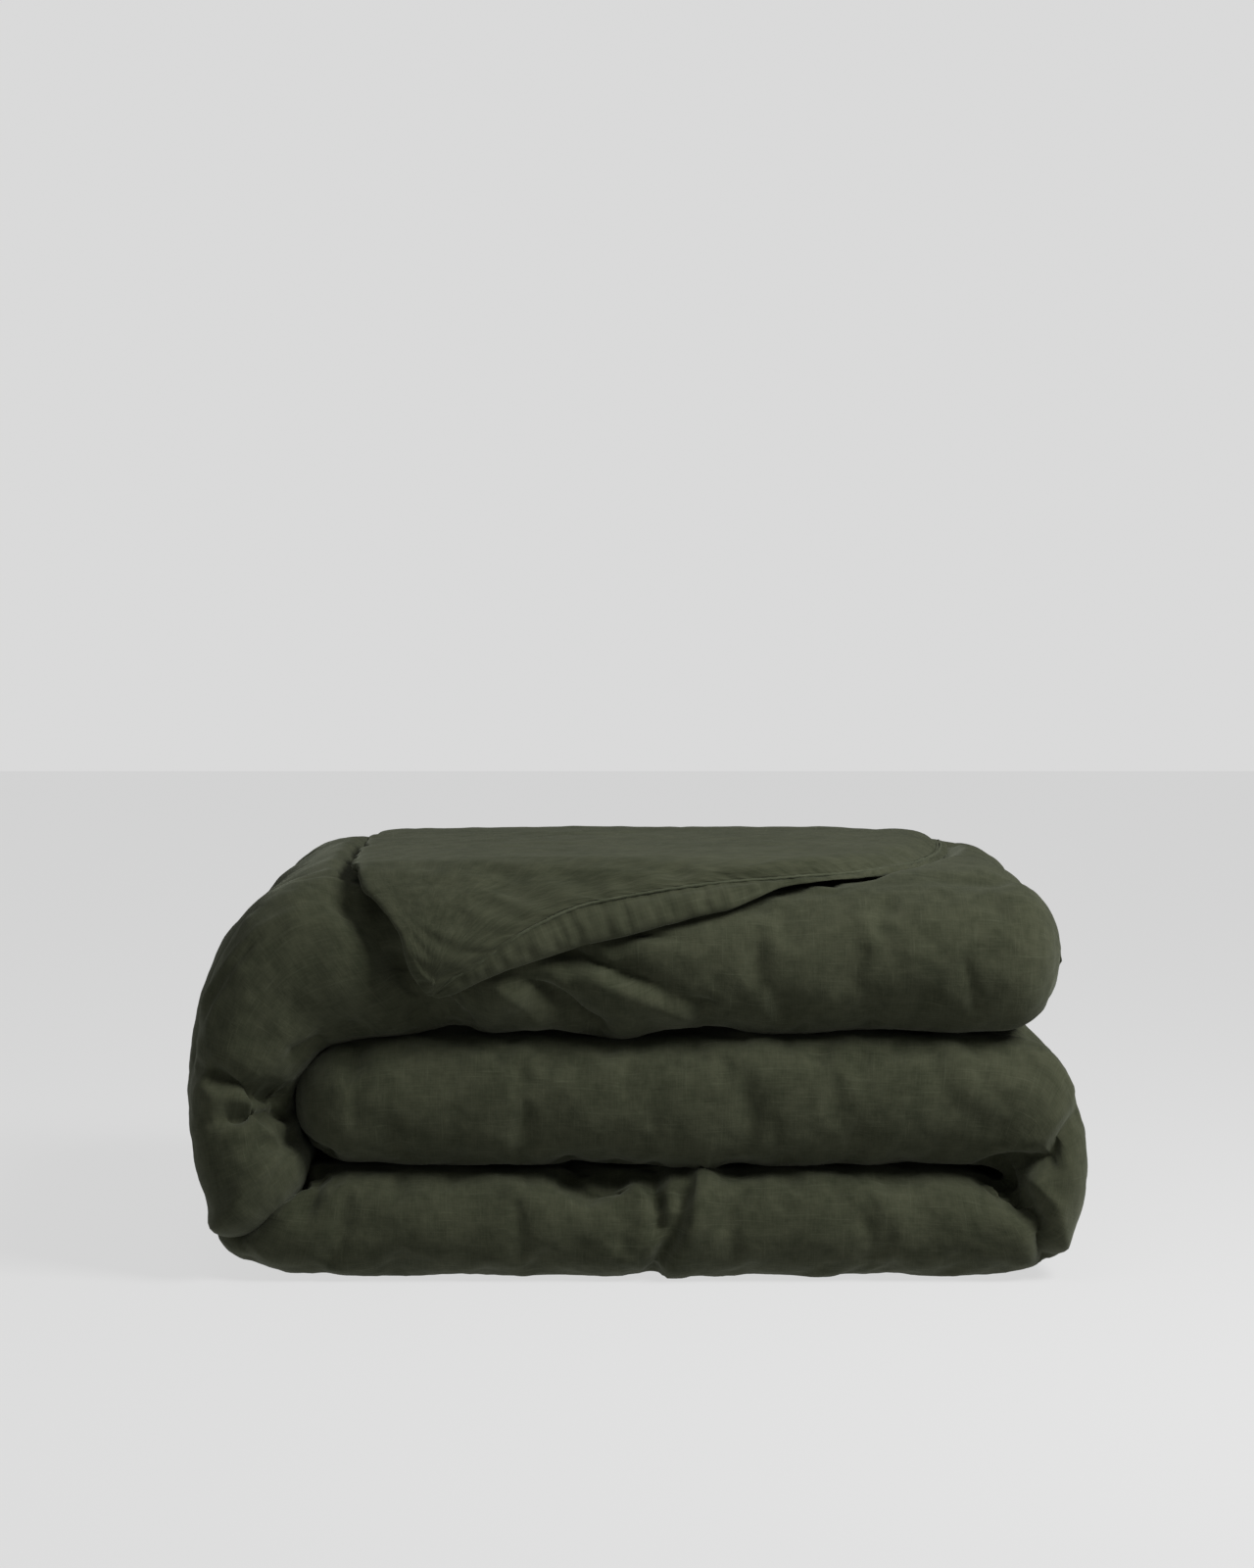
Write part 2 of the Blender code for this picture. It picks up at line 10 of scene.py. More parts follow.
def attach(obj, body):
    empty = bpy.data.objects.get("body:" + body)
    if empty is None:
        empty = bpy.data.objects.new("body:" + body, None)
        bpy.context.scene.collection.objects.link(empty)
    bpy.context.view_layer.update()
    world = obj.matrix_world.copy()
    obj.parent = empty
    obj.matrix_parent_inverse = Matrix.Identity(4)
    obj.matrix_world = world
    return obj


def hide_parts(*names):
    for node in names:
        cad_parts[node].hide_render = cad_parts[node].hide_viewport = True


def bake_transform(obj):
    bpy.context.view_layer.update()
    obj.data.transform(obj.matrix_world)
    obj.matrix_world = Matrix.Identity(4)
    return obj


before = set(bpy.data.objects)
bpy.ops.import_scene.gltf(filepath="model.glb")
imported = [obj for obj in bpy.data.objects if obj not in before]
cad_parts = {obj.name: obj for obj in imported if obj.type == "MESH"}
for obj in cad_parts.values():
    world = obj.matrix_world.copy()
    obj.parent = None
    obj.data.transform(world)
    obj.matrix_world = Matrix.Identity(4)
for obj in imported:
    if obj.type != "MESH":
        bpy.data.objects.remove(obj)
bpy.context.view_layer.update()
scene = bpy.context.scene
print("frame loaded:", len(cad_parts), "nodes")

# What every part of the duvet shares, in metres. x runs to the right, y to the back and z up.
stack = {
    "frontY": -0.208,  # where the plies start to bend at the front
    "headEdgeY": 0.262,  # the sewn head edge, at the back
    "footEdgeY": 0.239,  # the filled part of the foot edge
    "backFoldY": 0.264,  # the closed fold at the back
    "rollPower": 2.15,  # how full the front rolls are: 2 is an ellipse
    "faceStep": 0.013,  # between points over the flat faces
    "pathStep": 0.0068,  # between sections along a run of cover
    "frontPoints": 30,  # round a front roll
    "follow": 0.12,  # how far back the faces follow a front roll that lies further forward
    "lobe": 0.0135,  # half the thickness of a sewn edge's rounding
    "floorGap": 0.0004,
}


# Smooth wandering noise: a few plane waves in seeded directions, from -1 to 1.
def wander(points, wavelength, seed, waves=9):
    random = np.random.default_rng(seed)
    directions = random.normal(size=(waves, 3))
    directions /= np.linalg.norm(directions, axis=1)[:, None]
    lengths = wavelength * random.uniform(0.75, 1.45, waves)
    phases = random.uniform(0, 2 * math.pi, waves)
    waved = np.sin(points @ (directions / lengths[:, None] * 2 * math.pi).T + phases)
    return waved.sum(axis=1) / math.sqrt(waves) * 0.8


def smoothStep(low, high, value):
    t = np.clip((value - low) / (high - low), 0, 1)
    return t * t * (3 - 2 * t)


# Rows of values along a path, smoothed and set at even steps of the path's middle line.
def alongPath(rows, step):
    rows = np.array(rows, float)
    middle = (rows[:, 0:2] + rows[:, 2:4]) / 2
    outer = rows[:, 2:4]
    lengths = 0.5 * np.linalg.norm(np.diff(middle, axis=0), axis=1) + 0.5 * np.linalg.norm(
        np.diff(outer, axis=0), axis=1
    )
    reach = np.concatenate([[0], np.cumsum(lengths)])
    slope = np.gradient(rows, reach, axis=0)  # each value runs smoothly through its rows
    at = np.linspace(0, reach[-1], int(reach[-1] / step) + 1)
    k = np.clip(np.searchsorted(reach, at, side="right") - 1, 0, len(reach) - 2)
    span = (reach[k + 1] - reach[k])[:, None]
    u = (at - reach[k])[:, None] / span
    smooth = (2 * u**3 - 3 * u**2 + 1) * rows[k] + (u**3 - 2 * u**2 + u) * span * slope[k]
    smooth += (3 * u**2 - 2 * u**3) * rows[k + 1] + (u**3 - u**2) * span * slope[k + 1]
    return smooth


# One folded third in section. Columns: y, share of the front bulge, share of the front's shift, height share.
def sectionLoop():
    points = []
    power = 2 / stack["rollPower"]
    for k in range(stack["frontPoints"] + 1):
        turn = math.pi * (k / stack["frontPoints"] - 0.5)
        across = math.copysign(abs(math.sin(turn)) ** power, turn)
        points.append((stack["frontY"], abs(math.cos(turn)) ** power, 1, 0.5 + 0.5 * across))
    faceEnd = stack["headEdgeY"] - stack["lobe"]
    steps = round((faceEnd - stack["frontY"]) / stack["faceStep"])
    facePoints = [stack["frontY"] + (faceEnd - stack["frontY"]) * k / steps for k in range(1, steps)]

    def follow(y):
        return float(1 - smoothStep(stack["frontY"], stack["frontY"] + stack["follow"], y))

    points += [(y, 0, follow(y), 1) for y in facePoints]

    def lobe(tip, centre, half, radius, count):
        turns = [math.pi * (0.5 - k / count) for k in range(count + 1)]
        return [(tip - radius + radius * math.cos(t), 0, 0, centre + half * math.sin(t)) for t in turns]

    points += lobe(stack["headEdgeY"], 0.875, 0.123, stack["lobe"], 6)  # the top ply's sewn edge
    points.append((0.226, 0, 0, 0.7495))
    points += lobe(stack["footEdgeY"], 0.625, 0.122, 0.013, 5)  # the next ply's filled edge
    points.append((0.205, 0, 0, 0.5))
    points += lobe(stack["backFoldY"], 0.25, 0.248, 0.03, 10)  # the two plies of the closed fold
    sparse = facePoints[::-1][4::2]
    points += [(y, 0, follow(y), 0) for y in sparse]
    return np.array(points)


# Sweeps the section along a path of stations: inner x, z, outer x, z, front y, bulge.
# A rounded end closes in on the section's own middle line.
def sweep(rows, startCap, endCap):
    path = alongPath(rows, stack["pathStep"])
    loop = sectionLoop()
    rings, grooves = [], []
    for end, cap in ((0, startCap), (-1, endCap)):
        ahead = path[end] - path[end + (1 if end == 0 else -1)]
        middleStep = (ahead[0:2] + ahead[2:4]) / 2
        heading = middleStep / np.linalg.norm(middleStep)
        if "heading" in cap:
            heading = np.array(cap["heading"]) / np.linalg.norm(cap["heading"])
        capRings = []
        for k in range(1, cap["steps"] + 1):
            turn = math.pi / 2 * k / cap["steps"]
            row = path[end].copy()
            out = heading * cap["reach"] * math.sin(turn)
            row[0:2] += out
            row[2:4] += out
            capRings.append((row, max(math.cos(turn), 0.05)))
        grooves.append((len(capRings), heading * cap.get("groove", 0.0)))
        rings.append(capRings)
    rows = [r for r, _ in rings[0][::-1]] + list(path) + [r for r, _ in rings[1]]
    shrink = [q for _, q in rings[0][::-1]] + [1.0] * len(path) + [q for _, q in rings[1]]
    rows, shrink = np.array(rows), np.array(shrink)[:, None]
    height = 0.5 + (loop[:, 3] - 0.5) * shrink  # (stations, loop)
    inner, outer = rows[:, None, 0:2], rows[:, None, 2:4]
    across = inner + (outer - inner) * height[:, :, None]
    front = rows[:, 4][:, None]
    y = loop[:, 0] + loop[:, 2] * (front - stack["frontY"]) - loop[:, 1] * rows[:, 5][:, None] * shrink
    backKeep = 0.022  # a rounded end draws the back in a little
    y = y - np.clip(loop[:, 0] - 0.15, 0, 1) / 0.11 * backKeep * (1 - shrink)
    coords = np.stack([across[:, :, 0], y, across[:, :, 1]], axis=2)
    # the four plies show at a free end as soft grooves, which fade out towards the front
    ply = np.abs((height * 4) % 1 - 0.5) * 2  # 1 on the line between two plies
    line = np.where((height > 0.1) & (height < 0.9), ply, 0) ** 5
    back = smoothStep(stack["frontY"] - 0.01, stack["frontY"] + 0.07, y)
    ends = slice(0, grooves[0][0]), slice(len(rows) - grooves[1][0], None)
    for (_, deep), chosen in zip(grooves, ends):
        inward = (line * back * (1 - shrink) ** 0.5)[chosen]
        coords[chosen, :, 0] -= deep[0] * inward
        coords[chosen, :, 2] -= deep[1] * inward
    return coords, rows, loop, shrink[:, 0]


def meshObject(name, bm):
    mesh = bpy.data.meshes.new(name)
    bm.to_mesh(mesh)
    bm.free()
    obj = bpy.data.objects.new(name, mesh)
    scene.collection.objects.link(obj)
    return obj


# How far along a line of points each of them lies.
def reachAlong(points):
    return np.concatenate([[0], np.cumsum(np.linalg.norm(np.diff(points, axis=0), axis=1))])


# A mesh from rings of points, closed round each ring and filled at both ends. Its UVs are metres of cloth.
def ringMesh(name, coords):
    count, around = coords.shape[:2]
    stepsAlong = np.linalg.norm(np.diff(coords, axis=0), axis=2).mean(axis=1)
    along = np.concatenate([[0], np.cumsum(stepsAlong)])
    closed = np.concatenate([coords, coords[:, :1]], axis=1)
    aroundSteps = np.linalg.norm(np.diff(closed, axis=1), axis=2).mean(axis=0)
    across = np.concatenate([[0], np.cumsum(aroundSteps)])
    bm = bmesh.new()
    verts = [bm.verts.new(point) for point in coords.reshape(-1, 3)]
    layer = bm.loops.layers.uv.new("cloth")
    for i in range(count - 1):
        for j in range(around):
            corners = ((i, j), (i + 1, j), (i + 1, j + 1), (i, j + 1))
            face = bm.faces.new([verts[a * around + b % around] for a, b in corners])
            for corner, (a, b) in zip(face.loops, corners):
                corner[layer].uv = (along[a], across[b])
    ends = []
    for start in (0, (count - 1) * around):
        ends.append(bm.faces.new([verts[start + j] for j in range(around)]))
        for corner in ends[-1].loops:
            corner[layer].uv = (corner.vert.co.y, corner.vert.co.z)
    bmesh.ops.triangulate(bm, faces=ends)
    bmesh.ops.recalc_face_normals(bm, faces=bm.faces)
    if bm.calc_volume(signed=True) < 0:
        bmesh.ops.reverse_faces(bm, faces=bm.faces)
    return meshObject(name, bm)


def readPoints(obj):
    points = np.zeros(len(obj.data.vertices) * 3)
    obj.data.vertices.foreach_get("co", points)
    return points.reshape(-1, 3)


def writePoints(obj, points):
    obj.data.vertices.foreach_set("co", points.reshape(-1))
    obj.data.update()


def readNormals(obj):
    normals = np.zeros(len(obj.data.vertices) * 3)
    obj.data.vertices.foreach_get("normal", normals)
    return normals.reshape(-1, 3)


# Moves points out along the surface's normal, and none through the floor.
def moveOut(obj, move):
    points = readPoints(obj) + readNormals(obj) * move[:, None]
    points[:, 2] = np.maximum(points[:, 2], stack["floorGap"])
    writePoints(obj, points)


# How near each point is to a line on the front, as seen from the front, and how far along it.
def nearLine(points, line):
    flat = points[:, [0, 2]]
    line = np.array(line, float)
    starts = reachAlong(line)
    lengths = np.diff(starts)
    best = np.full(len(flat), 1e9)
    share = np.zeros(len(flat))
    side = np.zeros(len(flat))
    for k, (a, b) in enumerate(zip(line[:-1], line[1:])):
        run = b - a
        t = np.clip(((flat - a) @ run) / (run @ run), 0, 1)
        away = flat - (a + t[:, None] * run)
        distance = np.linalg.norm(away, axis=1)
        closer = distance < best
        best = np.where(closer, distance, best)
        share = np.where(closer, (starts[k] + t * lengths[k]) / starts[-1], share)
        turned = (run[0] * away[:, 1] - run[1] * away[:, 0]) / lengths[k]
        side = np.where(closer, np.sign(turned), side)
    return best, share, side


# A fold or dent in the front: a line of x and z, how wide, and how deep, or raised if deep is negative.
# It can lean (wider on one side), fade along its line and have its own power (how square its section is).
def crease(line, width, deep, **more):
    return {"line": line, "width": width, "deep": deep, **more}


# Presses folds and dents in along the surface's normal.
def pressFolds(obj, folds, widen=1.0):
    points = readPoints(obj)
    move = np.zeros(len(points))
    facing = smoothStep(-0.1, 0.3, -readNormals(obj)[:, 1])
    for fold in folds:
        distance, share, side = nearLine(points, fold["line"])
        width = fold["width"] * widen
        if "lean" in fold:
            width = np.where(side > 0, width * fold["lean"], width)
        shape = np.exp(-((distance / width) ** fold.get("power", 1.5)))
        fade = np.interp(share, *fold.get("fade", ([0, 1], [1, 1])))
        move -= fold["deep"] * shape * fade * facing
    moveOut(obj, move)


# Small natural unevenness of washed cloth over its filling.
def roughen(obj, swells):
    points = readPoints(obj)
    move = np.zeros(len(points))
    for wavelength, high, seed in swells:
        move += high * wander(points, wavelength, seed)
    moveOut(obj, move)


def subdivided(obj):
    modifier = obj.modifiers.new("fine", "SUBSURF")
    modifier.levels = modifier.render_levels = 1
    bpy.context.view_layer.objects.active = obj
    bpy.ops.object.modifier_apply(modifier="fine")


# Lets the cloth puff and buckle a little: it has spare length, air in it, and is pinned where held is 1.
def settle(obj, held, settings):
    before = readPoints(obj)
    group = obj.vertex_groups.new(name="held")
    for index, weight in enumerate(held):
        group.add([index], float(weight), "REPLACE")
    cloth = obj.modifiers.new("settle", "CLOTH")
    values = cloth.settings
    values.quality = 6
    values.mass = 0.15
    values.tension_stiffness = values.compression_stiffness = 12
    values.shear_stiffness = 4
    values.bending_stiffness = settings["bending"]
    values.tension_damping = values.compression_damping = 8
    values.air_damping = 2
    values.use_pressure = True
    values.uniform_pressure_force = settings["pressure"]
    values.shrink_min = values.shrink_max = -settings["spare"]
    values.vertex_group_mass = "held"
    values.effector_weights.gravity = 0
    cloth.collision_settings.use_collision = False
    cloth.point_cache.frame_start, cloth.point_cache.frame_end = 1, settings["frames"]
    for number in range(1, settings["frames"] + 1):
        scene.frame_set(number)
    after = readPoints(obj.evaluated_get(bpy.context.evaluated_depsgraph_get()))
    scene.frame_set(1)
    obj.modifiers.remove(cloth)
    obj.vertex_groups.remove(group)
    move = after - before
    length = np.linalg.norm(move, axis=1)
    limited = settings["cap"] * np.tanh(length / settings["cap"])
    writePoints(obj, before + move * (limited / np.maximum(length, 1e-9))[:, None])
    print(obj.name, "settled by", round(float(length.mean()) * 1000, 2), "mm on average")


# 1 where a ring point is hidden between the thirds or at the back, and 0 on the front and the outer face.
def heldWeights(loop, shrink):
    front = loop[:, 1] > 0
    height = np.abs(loop[:, 3] - 0.5) * 2
    held = np.ones(len(loop))
    held[front] = smoothStep(0.9, 1.0, height[front]) * 0.9
    outer = (loop[:, 1] == 0) & (loop[:, 3] == 1) & (loop[:, 0] < 0.2)
    held[outer] = 0
    rings = np.repeat(held[None, :], len(shrink), axis=0)
    rings[shrink < 0.6] = 0.8
    return rings.reshape(-1)


settling = {"spare": 0.022, "pressure": 3, "bending": 0.8, "cap": 0.012, "frames": 18}


insert = {
    "inset": 0.006,  # of the filling from its cover
    "endShrink": 0.75,  # how far it goes into a rounded end
    "deeper": 1.15,  # its folds than the cover's
    "wider": 2.4,
    "backGap": 0.004,
    "drawnBack": 0.5,  # how much of the front's bulge it stays back by
    "hollowDeep": 0.012,
    "hollowCurve": 0.06,
}


# The filling inside a run of cover: the same shape, a little smaller, with softer folds. It is hollowed in
# front where several folds meet: x, z and how wide.
def fillingOf(name, cover, coords, shrink, run):
    settled = readPoints(cover)[: coords.shape[0] * coords.shape[1]].reshape(coords.shape)
    filling = ringMesh(name, settled[shrink > insert["endShrink"]])
    dents = [{**fold, "deep": fold["deep"] * insert["deeper"]} for fold in run["folds"] if fold["deep"] > 0]
    pressFolds(filling, dents, widen=insert["wider"])
    points = readPoints(filling) - readNormals(filling) * insert["inset"]
    points[:, 1] = np.minimum(points[:, 1], stack["footEdgeY"] - insert["backGap"])
    front = np.minimum(points[:, 1] - stack["frontY"], 0)
    points[:, 1] -= insert["drawnBack"] * front
    for x, z, wide in run["hollows"]:
        away = np.hypot(points[:, 0] - x, points[:, 2] - z) / wide
        bottom = stack["frontY"] + insert["hollowDeep"] - insert["hollowCurve"] * away**2
        points[:, 1] = np.maximum(points[:, 1], bottom)
    writePoints(filling, points)
    return filling


# Draws in the points of a filling that come too near the cover round it.
def keepInside(filling, cover, gap):
    places = [vertex.co for vertex in cover.data.vertices]
    tree = BVHTree.FromPolygons(places, [face.vertices for face in cover.data.polygons])
    points = readPoints(filling)
    for _ in range(2):
        for k, point in enumerate(points):
            near, normal, _, _ = tree.find_nearest(Vector(point))
            depth = (near - Vector(point)).dot(normal)
            if depth < gap:
                points[k] += np.array(normal) * (depth - gap)
    writePoints(filling, points)


# ---
# The middle third, the right fold and the bottom third: one run of cloth.
lower = {
    "bulge": 0.053,
    "rows": [
        # inner x, z, outer x, z: the inner side faces the next third, the outer side faces out
        (-0.244, 0.095, -0.244, 0.2),
        (-0.2, 0.094, -0.2, 0.2055),
        (-0.1, 0.093, -0.1, 0.2065),
        (0.0, 0.0925, 0.0, 0.2045),
        (0.1, 0.0935, 0.1, 0.2085),
        (0.2, 0.094, 0.205, 0.2085),
        (0.26, 0.094, 0.275, 0.2075),
        (0.288, 0.093, 0.315, 0.2055),
        (0.301, 0.091, 0.34, 0.1985),
        (0.306, 0.089, 0.357, 0.185),
        (0.3085, 0.087, 0.368, 0.166),
        (0.3095, 0.0855, 0.376, 0.144),
        (0.31, 0.0845, 0.381, 0.12),
        (0.31, 0.0835, 0.382, 0.096),
        (0.3095, 0.0825, 0.38, 0.072),
        (0.308, 0.0815, 0.374, 0.048),
        (0.305, 0.081, 0.364, 0.026),
        (0.3, 0.082, 0.345, 0.009),
        (0.288, 0.086, 0.315, 0.0015),
        (0.265, 0.091, 0.275, 0.0),
        (0.2, 0.0935, 0.2, 0.0),
        (0.1, 0.093, 0.1, 0.0),
        (0.0, 0.0925, 0.0, 0.0),
        (-0.1, 0.093, -0.1, 0.0),
        (-0.2, 0.094, -0.2, 0.0),
        (-0.248, 0.096, -0.26, 0.0005),
        (-0.272, 0.0955, -0.3, 0.003),
        (-0.29, 0.091, -0.328, 0.012),
    ],
    "swells": [(0.085, 0.0016, 11), (0.03, 0.0006, 12), (0.011, 0.00018, 13)],
    "hollows": [(-0.285, 0.095, 0.04), (0.31, 0.092, 0.04)],
    "folds": [
        # right fold: the upper and the lower branch, and the ridge between them
        crease(
            [
                (0.296, 0.091), (0.315, 0.0985), (0.332, 0.104),
                (0.345, 0.106), (0.356, 0.123), (0.374, 0.145),
            ],
            0.0085, 0.02, power=1.4, fade=([0, 0.25, 0.7, 1], [0.4, 1, 0.8, 0.25]),
        ),
        crease(
            [(0.3, 0.088), (0.32, 0.07), (0.3353, 0.0563), (0.34, 0.0373), (0.3478, 0.0099)],
            0.008, 0.019, power=1.4, fade=([0, 0.25, 0.8, 1], [0.4, 1, 0.8, 0.4]),
        ),
        crease([(0.335, 0.085), (0.353, 0.065), (0.356, 0.048), (0.36, 0.028)], 0.008, -0.005),
        crease([(0.322, 0.113), (0.34, 0.122), (0.354, 0.142)], 0.009, -0.004),
        crease([(0.3395, 0.1995), (0.354, 0.182), (0.3676, 0.1615)], 0.003, -0.0022),
        crease([(0.33, 0.196), (0.344, 0.18), (0.356, 0.164)], 0.003, -0.0018),
        # bottom third: the dents under the crease and the ridge that runs down from it
        crease([(-0.058, 0.09), (-0.04, 0.079), (-0.018, 0.084)], 0.012, 0.013),
        crease([(0.013, 0.086), (0.017, 0.048)], 0.0085, 0.013),
        crease(
            [(0.053, 0.0919), (0.0447, 0.0497), (0.0282, 0.0199), (0.024, 0.001)],
            0.0055, -0.0085, lean=3.0,
        ),
        crease([(0.038, 0.075), (0.03, 0.035), (0.014, 0.006)], 0.008, 0.0095),
        crease([(0.225, 0.089), (0.245, 0.05)], 0.016, 0.005, power=2),
        # bottom third, left: the pleats that meet at the inner corner
        crease(
            [
                (-0.283, 0.1), (-0.303, 0.084), (-0.316, 0.067),
                (-0.325, 0.051), (-0.34, 0.037),
            ],
            0.012, 0.018,
        ),
        crease([(-0.283, 0.1052), (-0.2868, 0.0861)], 0.005, 0.011, fade=([0, 1], [1, 0.5])),
        crease(
            [(-0.264, 0.1002), (-0.2785, 0.0616), (-0.285, 0.045)],
            0.009, 0.009, fade=([0, 0.6, 1], [1, 0.8, 0]),
        ),
        # middle third: shallow dents near its free end and its right end
        crease([(-0.235, 0.185), (-0.2, 0.175)], 0.02, 0.004, power=2),
        crease([(0.245, 0.195), (0.262, 0.15), (0.3, 0.13)], 0.014, 0.004, power=2),
        crease([(0.285, 0.18), (0.31, 0.15)], 0.007, 0.0025),
    ],
}
rows = [(*row, stack["frontY"] + 0.003, lower["bulge"]) for row in lower["rows"]]
coords, lowerRows, lowerLoop, lowerShrink = sweep(
    rows,
    {"reach": 0.046, "steps": 12, "groove": 0.007},
    {"reach": 0.046, "steps": 9, "heading": (-1.0, 0.12)},
)
lowerStack = ringMesh("duvetLowerThirds", coords)
settle(lowerStack, heldWeights(lowerLoop, lowerShrink), settling)
lowerFilling = fillingOf("insertLowerThirds", lowerStack, coords, lowerShrink, lower)
subdivided(lowerStack)
roughen(lowerStack, lower["swells"])
pressFolds(lowerStack, lower["folds"])
keepInside(lowerFilling, lowerStack, 0.009)
print("lower thirds:", len(lowerStack.data.vertices), "points")

# The left fold and the top third.
upper = {
    "bulge": 0.0545,
    "rows": [
        (-0.28, 0.108, -0.359, 0.045),
        (-0.288, 0.12, -0.3735, 0.083),
        (-0.2906, 0.135, -0.3795, 0.118),
        (-0.29, 0.151, -0.381, 0.153),
        (-0.2873, 0.165, -0.3775, 0.185),
        (-0.282, 0.175, -0.372, 0.213),
        (-0.274, 0.184, -0.366, 0.238),
        (-0.264, 0.1915, -0.356, 0.264),
        (-0.252, 0.196, -0.344, 0.288),
        (-0.238, 0.199, -0.329, 0.31),
        (-0.22, 0.2015, -0.307, 0.329),
        (-0.195, 0.2045, -0.274, 0.3385),
        (-0.165, 0.208, -0.225, 0.335),
        (-0.1188, 0.205, -0.125, 0.3335),
        (-0.0802, 0.2105, -0.082, 0.3325),
        (-0.05, 0.206, -0.05, 0.332),
        (-0.02, 0.201, -0.02, 0.3315),
        (0.0137, 0.2095, 0.0137, 0.331),
        (0.045, 0.2125, 0.045, 0.331),
        (0.1075, 0.208, 0.1075, 0.331),
        (0.2, 0.209, 0.2, 0.332),
        (0.27, 0.208, 0.27, 0.333),
        (0.312, 0.208, 0.312, 0.333),
    ],
    "swells": [(0.08, 0.0017, 21), (0.028, 0.0006, 22), (0.011, 0.00018, 23)],
    "hollows": [(-0.31, 0.15, 0.052)],
    "folds": [
        # left fold: creases that run out from the inner corner
        crease(
            [(-0.37, 0.181), (-0.3475, 0.1719), (-0.3227, 0.1609), (-0.289, 0.151)],
            0.0068, 0.021, lean=1.6, fade=([0, 0.25, 0.6, 1], [0.3, 0.8, 1, 1]),
        ),
        crease(
            [(-0.3558, 0.1374), (-0.342, 0.1415), (-0.3199, 0.142), (-0.289, 0.138)],
            0.0056, 0.019, lean=2.0, fade=([0, 0.2, 0.6, 1], [0.25, 0.9, 1, 1]),
        ),
        crease([(-0.352, 0.16), (-0.315, 0.152)], 0.01, -0.004),
        crease(
            [
                (-0.2923, 0.1165), (-0.312, 0.102), (-0.329, 0.085),
                (-0.337, 0.066), (-0.352, 0.05),
            ],
            0.011, -0.009, fade=([0, 0.2, 1], [0, 1, 1]),
        ),
        crease(
            [(-0.285, 0.12), (-0.312, 0.118), (-0.335, 0.108)],
            0.01, 0.008, fade=([0, 0.5, 1], [1, 0.7, 0]),
        ),
        # ridges along the shoulder, where the front turns into the outer face
        crease(
            [
                (-0.371, 0.194), (-0.3641, 0.2161), (-0.3475, 0.2465), (-0.3309, 0.2713),
                (-0.3088, 0.2934), (-0.2813, 0.3044), (-0.2482, 0.3127),
            ],
            0.0046, -0.0052, fade=([0, 0.15, 0.8, 1], [0.3, 1, 1, 0]),
        ),
        crease(
            [
                (-0.3737, 0.2106), (-0.363, 0.238), (-0.35, 0.26), (-0.3364, 0.279),
                (-0.3171, 0.299), (-0.2868, 0.313), (-0.2592, 0.32),
            ],
            0.004, -0.0042, fade=([0, 0.15, 0.8, 1], [0, 1, 1, 0]),
        ),
        crease(
            [
                (-0.3665, 0.21), (-0.356, 0.237), (-0.34, 0.262),
                (-0.323, 0.284), (-0.295, 0.301),
            ],
            0.0034, 0.0036,
        ),
        crease([(-0.2868, 0.2299), (-0.2702, 0.2216), (-0.2371, 0.2133)], 0.014, 0.005, power=2),
        crease([(-0.286, 0.193), (-0.265, 0.202)], 0.008, 0.009),
        # the filling gives way under the tip of the hanging corner
        crease([(-0.196, 0.264), (-0.172, 0.244), (-0.142, 0.252)], 0.018, 0.01, power=2),
        # the dent beside the hanging corner, and on to under its tip
        crease(
            [
                (-0.25, 0.325), (-0.226, 0.312), (-0.208, 0.2824),
                (-0.199, 0.2492), (-0.1819, 0.2272), (-0.15, 0.22),
            ],
            0.019, 0.017, power=2, fade=([0, 0.2, 0.8, 1], [0.5, 1, 1, 0.6]),
        ),
        # under the hanging corner: two diagonal folds with a ridge between them
        crease(
            [(-0.072, 0.282), (-0.0415, 0.2743), (-0.0167, 0.2633), (0.0109, 0.2522), (0.04, 0.242)],
            0.0085, 0.019, lean=1.5, fade=([0, 0.2, 0.7, 1], [1, 1, 0.8, 0]),
        ),
        crease([(0.038, 0.2425), (0.06, 0.237)], 0.0035, 0.004),
        crease(
            [(-0.0498, 0.266), (-0.0029, 0.2465), (0.0247, 0.233), (0.0578, 0.22)],
            0.01, -0.0075, fade=([0, 0.2, 0.8, 1], [0, 1, 1, 0]),
        ),
        crease(
            [(-0.1, 0.262), (-0.0747, 0.244), (-0.0526, 0.2274), (-0.0333, 0.2108)],
            0.0085, 0.017, lean=1.3, fade=([0, 0.3, 1], [0.5, 1, 0.9]),
        ),
        crease([(-0.125, 0.255), (-0.096, 0.235), (-0.085, 0.22)], 0.009, -0.005),
        crease(
            [(0.0, 0.299), (0.025, 0.295), (0.05, 0.29)],
            0.0035, 0.006, fade=([0, 1], [1, 0]),
        ),
        crease([(0.2732, 0.2724), (0.284, 0.2335)], 0.005, 0.0035),
        crease([(0.19, 0.228), (0.24, 0.24)], 0.014, 0.004, power=2),
        # the filling gives way under the hanging corner
        crease(
            [(-0.18, 0.268), (-0.12, 0.292), (-0.05, 0.312), (0.06, 0.326), (0.15, 0.333)],
            0.026, 0.006, power=3,
        ),
    ],
}
rows = [(*row, stack["frontY"], upper["bulge"]) for row in upper["rows"]]
coords, upperRows, upperLoop, upperShrink = sweep(
    rows,
    {"reach": 0.03, "steps": 7, "heading": (0.6, -1.0)},
    {"reach": 0.047, "steps": 12, "groove": 0.007},
)
upperStack = ringMesh("duvetTopThird", coords)
settle(upperStack, heldWeights(upperLoop, upperShrink), settling)
upperFilling = fillingOf("insertTopThird", upperStack, coords, upperShrink, upper)
subdivided(upperStack)
roughen(upperStack, upper["swells"])
pressFolds(upperStack, upper["folds"])
print("top third:", len(upperStack.data.vertices), "points")

